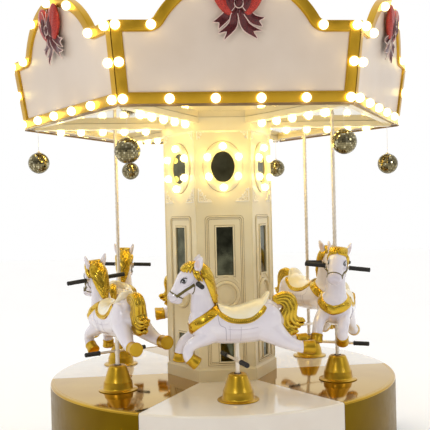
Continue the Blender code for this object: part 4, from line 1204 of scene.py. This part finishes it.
def horseSaddle():
    # the seat: a pad over the back that runs up into a rounded cantle
    def lay(along, across):
        x = saddle["middle"] + saddle["half"] * along
        widest = math.radians(saddle["spread"]) * (1 - 0.60 * abs(along) ** 2.6)
        turn = across * widest
        spot, normal = fromAxis((x, 0, 0.430), (0, math.sin(turn), math.cos(turn)))
        rim = max(0.0, along) ** 3 * 0.012 * max(0.0, math.cos(turn))
        return spot, normal * domed(across, saddle["height"]) + Vector((0, 0, rim))

    work = wrapped(lay, 40, 32, saddle["thick"])
    loft(work, saddle["seat"], 26)
    return fused("horseSaddle", work, *horse["clay"]["horseSaddle"])


def saddleTrim():
    # a crescent of gold braid under the seat's edge, with a row of beads
    row = smoothRow([(x, 0.0, z) for x, z in saddle["braid"]], 8)
    work = bmesh.new()
    for hand in (-1, 1):
        def lay(along, across):
            spot = (along + 1) / 2 * (len(row) - 1)
            index = min(int(spot), len(row) - 2)
            here = row[index].lerp(row[index + 1], spot - index)
            ahead = (row[index + 1] - row[index]).normalized()
            wide = saddle["braidHalf"] * (1 - 0.35 * abs(along) ** 4)
            place = here + Vector((ahead.z, 0, -ahead.x)) * across * wide
            found, normal = fromSide(hand, place.x, place.z)
            return found, normal * domed(across, saddle["braidHeight"])

        join(work, wrapped(lay, 60, 6, 0.003))
        for step in range(saddle["beads"]):
            found, height = lay(-0.92 + 1.84 * step / (saddle["beads"] - 1), 0.0)
            bmesh.ops.create_icosphere(work, subdivisions=2, radius=saddle["beadRadius"],
                                       matrix=Matrix.Translation(found + height))
    return meshOf("saddleTrim", work, 50)


def horseLines():
    # the fine moulded lines of the saddle cloth, the girth, the mouth and the cheek
    work = bmesh.new()
    for hand in (-1, 1):
        for wide, *points in horse["lines"]:
            strap(work, points, wide, 0.0011, hand, 6)
    return meshOf("horseLines", work)


def horseBridle():
    # nose band, cheek strap up to the grip and the strap that curves under the jaw
    work = bmesh.new()
    middle = Vector((0.334, 0, 0.604))
    ahead = Vector((0.70, 0, -0.71))
    upward = Vector((0.71, 0, 0.70))
    spots = []
    for step in range(48):
        turn = math.tau * step / 48
        tilt = 0.010 * math.cos(turn)
        spots.append(fromAxis(middle + ahead * tilt, upward * math.cos(turn) + Vector((0, 1, 0)) * math.sin(turn),
                              trunkTree, 0.062))
    placings = []
    for index in range(49):
        spot, normal = spots[index % 48]
        along = (spots[(index + 1) % 48][0] - spots[(index - 1) % 48][0]).normalized()
        side = along.cross(normal).normalized()
        turn = Matrix((side, side.cross(along), along)).transposed().to_4x4()
        placings.append(Matrix.Translation(spot) @ turn @ Matrix.Diagonal((0.0042, 0.0030, 1, 1)))
    swept(work, placings, 8)
    for hand in (-1, 1):
        strap(work, [(0.338, 0.597), (0.306, 0.618), (0.272, 0.642), (0.236, 0.664)], 0.0165, 0.0060, hand)
        strap(work, [(0.234, 0.656), (0.238, 0.628), (0.246, 0.608)], 0.0058, 0.0028, hand)
    return meshOf("horseBridle", work, 60)


# on the eye's own frame: x ahead, y up, z out
eye = {"white": (0.0200, 0.0130, 0.0040), "iris": (0.0135, 0.0122, 0.0048), "irisPlace": (0.002, 0.0005, 0.0014),
       "glint": 0.0030, "glintPlace": (0.0062, 0.0050, 0.0052),
       "lids": ((0.0029, [(-0.0240, -0.0010, 0.001), (-0.0120, 0.0105, 0.0032), (0.002, 0.0145, 0.0038),
                          (0.0150, 0.0100, 0.0032), (0.0225, 0.000, 0.001)]),
                (0.0012, [(-0.0200, -0.0040, 0.001), (-0.0100, -0.0110, 0.0024), (0.004, -0.0135, 0.0026),
                          (0.0180, -0.0070, 0.001)])),
       "lashes": (((-0.018, 0.006, 0.0030), (-0.027, 0.011, 0.0030)),
                  ((-0.010, 0.012, 0.0030), (-0.017, 0.019, 0.0030)))}


def horseEyes(black, white):
    for hand in (-1, 1):
        spot, normal = fromSide(hand, *horse["eye"])
        ahead = Vector((0.80, 0, -0.60))
        ahead = (ahead - normal * ahead.dot(normal)).normalized()
        up = normal.cross(ahead) * (1 if normal.cross(ahead).z > 0 else -1)
        frameTurn = Matrix((ahead, up, normal)).transposed().to_4x4()
        stand = Matrix.Translation(spot) @ frameTurn
        bmesh.ops.create_uvsphere(white, u_segments=24, v_segments=12, radius=1.0,
                                  matrix=stand @ Matrix.Diagonal((*eye["white"], 1)))
        bmesh.ops.create_uvsphere(black, u_segments=24, v_segments=12, radius=1.0,
                                  matrix=stand @ Matrix.Translation(eye["irisPlace"])
                                  @ Matrix.Diagonal((*eye["iris"], 1)))
        bmesh.ops.create_uvsphere(white, u_segments=10, v_segments=6, radius=eye["glint"],
                                  matrix=stand @ Matrix.Translation(eye["glintPlace"]))
        for thick, points in eye["lids"]:
            wire(black, [stand @ Vector(point) for point in points], thick, 6, 4)
        for root, tip in eye["lashes"]:
            rod(black, stand @ Vector(root), stand @ Vector(tip), 0.0020, 6, 0.0005)


def locks(work, rows, segments=8, between=5):
    # each lock of hair is a rounded strand; rows hold its points, half thickness, and how blunt its ends are
    for points, thick, blunt in rows:
        last = len(points) - 1
        stations = []
        for index, point in enumerate(points):
            full = max(blunt, math.sin(math.pi * (0.18 + 0.72 * index / last)) ** 0.8) * thick
            stations.append((*point, full, full))
        loft(work, stations, segments, between)


# spine: x, z and half spread in degrees; fringe: how far out, how low and how far back each lock ends
mane = {"spine": [(0.192, 0.548, 9), (0.192, 0.580, 21), (0.194, 0.615, 34), (0.197, 0.650, 45), (0.204, 0.690, 58),
                  (0.212, 0.722, 70), (0.222, 0.745, 80)],
        "grooves": 3.1, "slant": 2.6, "thick": 0.010,
        "crown": [(0.184, 0, 0.732, 0.022, 0.028), (0.212, 0, 0.750, 0.018, 0.028), (0.244, 0, 0.760, 0.020, 0.034),
                  (0.272, 0, 0.756, 0.020, 0.034), (0.290, 0, 0.742, 0.014, 0.028)],
        "fringe": ((0.006, 0.735, 0.000), (0.017, 0.733, 0.004), (0.027, 0.731, 0.012), (0.036, 0.729, 0.026),
                   (0.043, 0.728, 0.044)),
        "fringeThick": 0.0125, "templeLocks": ((0.0, 0.052), (0.017, 0.054)), "templeThick": 0.0115, "blunt": 0.16}


def horseMane():
    # a shell of hair over the crest with slanting grooves, a fringe over the brow and a lock before the ear
    spine = smoothRow(mane["spine"], 8)

    def lay(along, across):
        spot = (along + 1) / 2 * (len(spine) - 1)
        index = min(int(spot), len(spine) - 2)
        x, z, spread = spine[index].lerp(spine[index + 1], spot - index)
        turn = math.radians(spread) * across
        groove = abs(math.cos(math.pi * (abs(across) * mane["grooves"] - along * mane["slant"])))
        found, normal = fromAxis((x, 0, z), (-math.cos(turn), math.sin(turn), 0.28 * (along > 0.6)), trunkTree, 0.12)
        height = 0.0065 + 0.0085 * groove ** 0.7 * (1 - 0.2 * abs(across)) + 0.003 * max(0.0, 1 - abs(across) * 1.6)
        taper = math.sqrt(max(0.0, 1 - max(0.0, -along) ** 8)) * min(1.0, 0.45 + 0.9 * (along + 1))
        return found, normal * (height * math.sqrt(max(0.0, 1 - abs(across) ** 8)) * taper - 0.002)

    work = wrapped(lay, 120, 60, mane["thick"])
    loft(work, mane["crown"], 16)
    rows = []
    for hand in (-1, 1):
        for spread, low, back in mane["fringe"]:
            rows.append(([(0.214 - back * 0.1, hand * spread * 0.5, 0.768),
                          (0.244 - back * 0.4, hand * spread * 0.8, 0.778),
                          (0.276 - back * 0.7, hand * spread, 0.769), (0.299 - back, hand * (spread + 0.003), 0.750),
                          (0.302 - back, hand * (spread + 0.006), low)], mane["fringeThick"], mane["blunt"]))
        for back, out in mane["templeLocks"]:
            rows.append(([(0.238 - back, hand * 0.040, 0.750), (0.234 - back, hand * out, 0.730),
                          (0.224 - back, hand * (out + 0.003), 0.706), (0.208 - back, hand * (out + 0.001), 0.680)],
                         mane["templeThick"], mane["blunt"]))
    locks(work, rows)
    return fused("horseMane", work, *horse["clay"]["horseMane"])


# strands: (x, z) points from the root to the tip, half thickness, and how blunt the ends are
tail = {
    "strands": [
        ([(-0.210, 0.562), (-0.248, 0.580), (-0.288, 0.583), (-0.322, 0.564), (-0.333, 0.528), (-0.329, 0.490),
          (-0.330, 0.460), (-0.350, 0.438), (-0.376, 0.436), (-0.389, 0.428)], 0.0140, 0.35),
        ([(-0.210, 0.552), (-0.248, 0.566), (-0.286, 0.566), (-0.306, 0.546), (-0.314, 0.514), (-0.307, 0.480),
          (-0.308, 0.450), (-0.328, 0.424), (-0.358, 0.412), (-0.383, 0.417)], 0.0148, 0.40),
        ([(-0.210, 0.543), (-0.248, 0.552), (-0.276, 0.549), (-0.291, 0.530), (-0.295, 0.500), (-0.286, 0.468),
          (-0.284, 0.438), (-0.300, 0.410), (-0.330, 0.398), (-0.362, 0.400)], 0.0148, 0.45),
        ([(-0.212, 0.534), (-0.243, 0.540), (-0.262, 0.534), (-0.276, 0.518), (-0.276, 0.495), (-0.265, 0.468),
          (-0.262, 0.438), (-0.272, 0.411), (-0.298, 0.396), (-0.328, 0.390)], 0.0138, 0.50),
        ([(-0.268, 0.528), (-0.273, 0.508), (-0.262, 0.486), (-0.251, 0.462), (-0.247, 0.435), (-0.247, 0.410),
          (-0.260, 0.395), (-0.284, 0.390)], 0.0112, 0.45),
        ([(-0.252, 0.404), (-0.266, 0.388), (-0.288, 0.374), (-0.312, 0.364), (-0.334, 0.362)], 0.0140, 0.50),
        ([(-0.282, 0.398), (-0.304, 0.382), (-0.328, 0.374), (-0.350, 0.374)], 0.0130, 0.55),
    ],
    "across": 0.022,
    "core": [(-0.236, 0, 0.556, 0.012, 0.018), (-0.272, 0, 0.558, 0.022, 0.024),
             (-0.300, 0, 0.530, 0.024, 0.026), (-0.304, 0, 0.490, 0.026, 0.026),
             (-0.296, 0, 0.450, 0.028, 0.026), (-0.306, 0, 0.416, 0.018, 0.022)],
}


def horseTail():
    # strands side by side that sweep over, down and out to a curl, and shorter ones that rest on the legs
    work = bmesh.new()
    rows = []
    for level, (path, thick, blunt) in enumerate(tail["strands"]):
        for across in (-tail["across"], 0.0, tail["across"]):
            last = len(path) - 1
            middle = across == 0.0
            points = []
            for index, (x, z) in enumerate(path):
                wide = min(1.0, 0.55 + 0.8 * index / last) if level < 4 else 1.0
                points.append((x, across * wide * (1 - 0.5 * (index == last)), z + 0.004 * middle))
            rows.append((points, thick * (1.2 if middle else 1.08), blunt))
    locks(work, rows, 10)
    loft(work, tail["core"], 12)
    return fused("horseTail", work, *horse["clay"]["horseTail"])


def horseHooves():
    work = bmesh.new()
    for top, sole, size in horse["hooves"]:
        top, sole = Vector(top), Vector(sole)
        axis = (sole - top).normalized()
        length = (sole - top).length
        shape = bmesh.new()
        turned(shape, [(0.0, -0.004), (size * 0.80, -0.004), (size * 0.90, 0.000), (size * 0.93, 0.005),
                       (size * 0.88, 0.009), (size * 0.90, length * 0.40), (size * 0.96, length * 0.70),
                       (size, length - 0.008),
                       (size * 0.985, length - 0.003), (size * 0.93, length), (size * 0.85, length),
                       (size * 0.82, length - 0.0018), (0.0, length - 0.0018)], 32)
        stand = Matrix.Translation(top) @ axis.to_track_quat("Z", "Y").to_matrix().to_4x4()
        join(work, shape, stand)
    return meshOf("horseHooves", work, 40)


def horsePlacing(number, place):
    angle = -math.pi / 2 + number * sixth
    *angles, raised = horse["seats"][place]
    turn, noseUp, lean = [math.radians(part) for part in angles]
    about = Matrix.Translation((0, 0, horse["tiltHeight"]))
    tilt = Matrix.Rotation(turn, 4, "Z") @ Matrix.Rotation(-lean, 4, "X") @ Matrix.Rotation(-noseUp, 4, "Y")
    stand = Matrix.Translation((horseRing * math.cos(angle), horseRing * math.sin(angle), deckTop))
    stand = stand @ Matrix.Rotation(angle - math.pi / 2, 4, "Z")
    return stand, stand @ Matrix.Translation((0, 0, raised)) @ about @ tilt @ about.inverted()


pole = {"radius": 0.0125, "foot": 0.058, "shortTop": 0.500, "longTop": 1.775, "lobes": 3, "pitch": 0.090, "step": 0.006,
        "footBar": 0.231, "footAhead": 0.018, "footTurn": 13.0, "footBarRadius": 0.008, "footHalf": 0.205,
        "footGrip": 0.095, "gripRadius": 0.014,
        "handBarRadius": 0.009, "handHalf": 0.195, "handGrip": 0.125}


def gripShape(work, inner, outer, height, forward, radius):
    # a ribbed rubber grip with a rounded end and a flange towards the horse
    length = outer - inner
    profile = [(0.0095, 0.0), (radius + 0.0008, 0.0), (radius + 0.0008, 0.004), (radius - 0.001, 0.005)]
    ribs = int(length / 0.0085)
    for rib in range(1, ribs):
        start = length * rib / ribs
        profile += [(radius - 0.0010, start - 0.0012), (radius - 0.0002, start), (radius - 0.0010, start + 0.0012)]
    profile += [(radius - 0.0005, length - 0.004), (radius - 0.0025, length - 0.001), (0.006, length), (0.0, length)]
    for hand in (-1, 1):
        shape = bmesh.new()
        turned(shape, profile, 18)
        stand = Matrix.Translation((forward, hand * inner, height)) @ Matrix.Rotation(-hand * math.pi / 2, 4, "X")
        join(work, shape, stand)


def twisted(work, low, high):
    # a barley-twist tube: a lobed ring carried up and turned as it goes
    steps = int((high - low) / pole["step"])
    ringVerts = bmesh.ops.create_circle(work, segments=18, radius=1.0)["verts"]
    for vert in ringVerts:
        angle = math.atan2(vert.co.y, vert.co.x)
        vert.co *= pole["radius"] * (0.94 + 0.06 * math.cos(pole["lobes"] * angle))
        vert.co.z = low
    ring = ringEdges(ringVerts)
    turn = math.tau * (high - low) / pole["pitch"] / steps
    climb = Matrix.Translation((0, 0, (high - low) / steps)) @ Matrix.Rotation(turn, 4, "Z")
    for step in range(steps):
        ring = grownRing(work, ring, climb)


def poles(place, stand, tilted):
    rider = f"rider_{place}"
    work = bmesh.new()
    if place in longPoles:
        twisted(work, pole["foot"], pole["longTop"])
    else:
        rod(work, (0, 0, pole["foot"]), (0, 0, pole["shortTop"] - 0.02), pole["radius"], 32)
    height, ahead = pole["footBar"], pole["footAhead"]
    half = pole["footHalf"]
    footTurn = Matrix.Rotation(math.radians(pole["footTurn"] if place == "front" else 0.0), 4, "Z")
    handTurn = Matrix.Rotation(math.radians(horse["handTurn"] if place == "front" else 0.0), 4, "Z")
    rod(work, footTurn @ Vector((ahead, -half + 0.01, height)), footTurn @ Vector((ahead, half - 0.01, height)),
        pole["footBarRadius"], 20)
    clamp = bmesh.new()
    turned(clamp, [(0.0120, -0.011), (0.0160, -0.010), (0.0170, 0.0), (0.0160, 0.010), (0.0120, 0.011),
                   (0.0120, -0.011)], 28)
    join(work, clamp, Matrix.Translation((0, 0, height)))
    steel = putPiece(f"poleAndFootBar_{place}", meshOf("pole", work, 50), [poleSteel], rider, stand)
    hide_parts(f"pole_{place}")
    grips = bmesh.new()
    gripShape(grips, half - pole["footGrip"], half, height, ahead, pole["gripRadius"])
    putPiece(f"footGrips_{place}", meshOf("footGrips", grips, 50), [gripRubber], rider, stand @ footTurn)
    forward, high = horse["handBar"]
    turnedHands = tilted @ Matrix.Translation((forward, 0, 0)) @ handTurn @ Matrix.Translation((-forward, 0, 0))
    bar = bmesh.new()
    half = pole["handHalf"]
    rod(bar, (forward, -half + 0.01, high), (forward, half - 0.01, high), pole["handBarRadius"], 20)
    steel = putPiece(f"handBar_{place}", meshOf("handBar", bar), [poleSteel], rider, turnedHands)
    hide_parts(f"handlebar_{place}")
    grips = bmesh.new()
    gripShape(grips, half - pole["handGrip"], half, high, forward, pole["gripRadius"])
    putPiece(f"handGrips_{place}", meshOf("handGrips", grips, 50), [gripRubber], rider, turnedHands)


def horses():
    black, white = bmesh.new(), bmesh.new()
    horseEyes(black, white)
    dress = [
        ("horseSkin", skinMesh, horseGelcoat, "horse_lacquer"),
        ("horseEars", horseEars(), horseGelcoat, "horse_lacquer"),
        ("horseCollar", horseCollar(), goldLacquer, "gold_lacquer"),
        ("horseSaddle", horseSaddle(), saddleCream, "cream_moulding"),
        ("saddleTrim", saddleTrim(), goldLacquer, "gold_lacquer"),
        ("horseLines", horseLines(), linePaint, "horse_lacquer"),
        ("horseBridle", horseBridle(), bridlePaint, "bridle_bronze"),
        ("horseEyes", meshOf("eyeBlack", black), eyeBlack, "black_grip"),
        ("horseEyeWhites", meshOf("eyeWhite", white), eyeWhite, "horse_lacquer"),
        ("horseMane", horseMane(), goldLacquer, "gold_lacquer"),
        ("horseTail", horseTail(), goldLacquer, "gold_lacquer"),
        ("horseHooves", horseHooves(), bellGold, "gold_lacquer"),
    ]
    for number, place in enumerate(places):
        stand, tilted = horsePlacing(number, place)
        for name, mesh, coat, slot in dress:
            piece = putPiece(f"{name}_{place}", mesh, [coat], f"rider_{place}", tilted)
            if name == "horseSkin":
                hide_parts(f"horse_{place}")
        poles(place, stand, tilted)


horses()
print("horses made")


# Studio: a pale floor, soft light all round and a camera where the photograph was taken
studio = {"cameraPlace": (-0.5417, -5.0110, 1.4662), "heading": 6.02, "pitch": -0.326, "roll": -1.416, "lens": 63.46,
          "shift": -1.84 / 430, "floor": 40.0, "frontSky": 0.24, "topSky": 0.30,
          "lights": (("keyLight", (-2.4, -4.4, 3.4), 0.6, 26.0), ("fillLight", (3.2, -3.6, 2.8), 0.8, 12.0))}


def makeStudio():
    floorWork = bmesh.new()
    bmesh.ops.create_grid(floorWork, x_segments=1, y_segments=1, size=studio["floor"] / 2)
    floorMesh = meshOf("floor", floorWork)
    # Matt white studio floor, lit a little from within so that it meets the background
    floorMesh.materials.append(coated("paleFloor", ("#F6F5F3", "#F9F8F6"), {"IOR": 1.45, "Emission Color": (1, 1, 1, 1),
                                                                            "Emission Strength": 0.13},
                                      patch=900, grain=4, rough=(0.6, 0.7), depth=0.0001))
    floor = bpy.data.objects.new("floor", floorMesh)
    floor.location.z = -0.0005
    bpy.context.collection.objects.link(floor)

    world = bpy.data.worlds.new("studioLight")
    world.use_nodes = True
    bpy.context.scene.world = world
    tree = world.node_tree
    spot = addNode(tree, "ShaderNodeTexCoord").outputs["Generated"]
    split = addNode(tree, "ShaderNodeSeparateXYZ", {"Vector": spot})
    round = addNode(tree, "ShaderNodeMapRange", {"Value": split.outputs["Y"], "From Min": -0.8, "From Max": 0.35,
                                                 "To Min": studio["frontSky"], "To Max": 1.0})
    above = addNode(tree, "ShaderNodeMapRange", {"Value": split.outputs["Z"], "From Min": 0.25, "From Max": 0.9,
                                                 "To Min": 0.0, "To Max": studio["topSky"]})
    level = addNode(tree, "ShaderNodeMath", {0: round.outputs["Result"], 1: above.outputs["Result"]}, operation="ADD")
    sky = tree.nodes["Background"]
    sky.inputs["Color"].default_value = linear("#FFFFFF")
    tree.links.new(level.outputs["Value"], sky.inputs["Strength"])

    for name, place, size, energy in studio["lights"]:
        light = bpy.data.lights.new(name, "AREA")
        light.size = size
        light.energy = energy
        lamp = bpy.data.objects.new(name, light)
        lamp.location = place
        lamp.rotation_euler = (Vector((0, 0, 1.0)) - Vector(place)).to_track_quat("-Z", "Y").to_euler()
        bpy.context.collection.objects.link(lamp)

    lens = bpy.data.cameras.new("camera")
    lens.lens = studio["lens"]
    lens.sensor_width = 36.0
    lens.shift_x = studio["shift"]
    camera = bpy.data.objects.new("camera", lens)
    turn = Matrix.Rotation(-math.radians(studio["heading"]), 4, "Z")
    turn = turn @ Matrix.Rotation(math.radians(90 + studio["pitch"]), 4, "X")
    turn = turn @ Matrix.Rotation(math.radians(studio["roll"]), 4, "Z")
    camera.matrix_world = Matrix.Translation(studio["cameraPlace"]) @ turn
    bpy.context.collection.objects.link(camera)
    scene = bpy.context.scene
    scene.camera = camera
    scene.view_settings.view_transform = "Standard"
    scene.use_nodes = True
    comp = scene.node_tree
    comp.nodes.clear()
    shot = addNode(comp, "CompositorNodeRLayers")
    halo = addNode(comp, "CompositorNodeGlare", {"Image": shot.outputs["Image"]}, glare_type="FOG_GLOW")
    halo.inputs["Threshold"].default_value = 2.0
    halo.inputs["Strength"].default_value = 0.22
    halo.inputs["Size"].default_value = 0.35
    addNode(comp, "CompositorNodeComposite", {"Image": halo.outputs["Image"]})


makeStudio()
print("studio made")
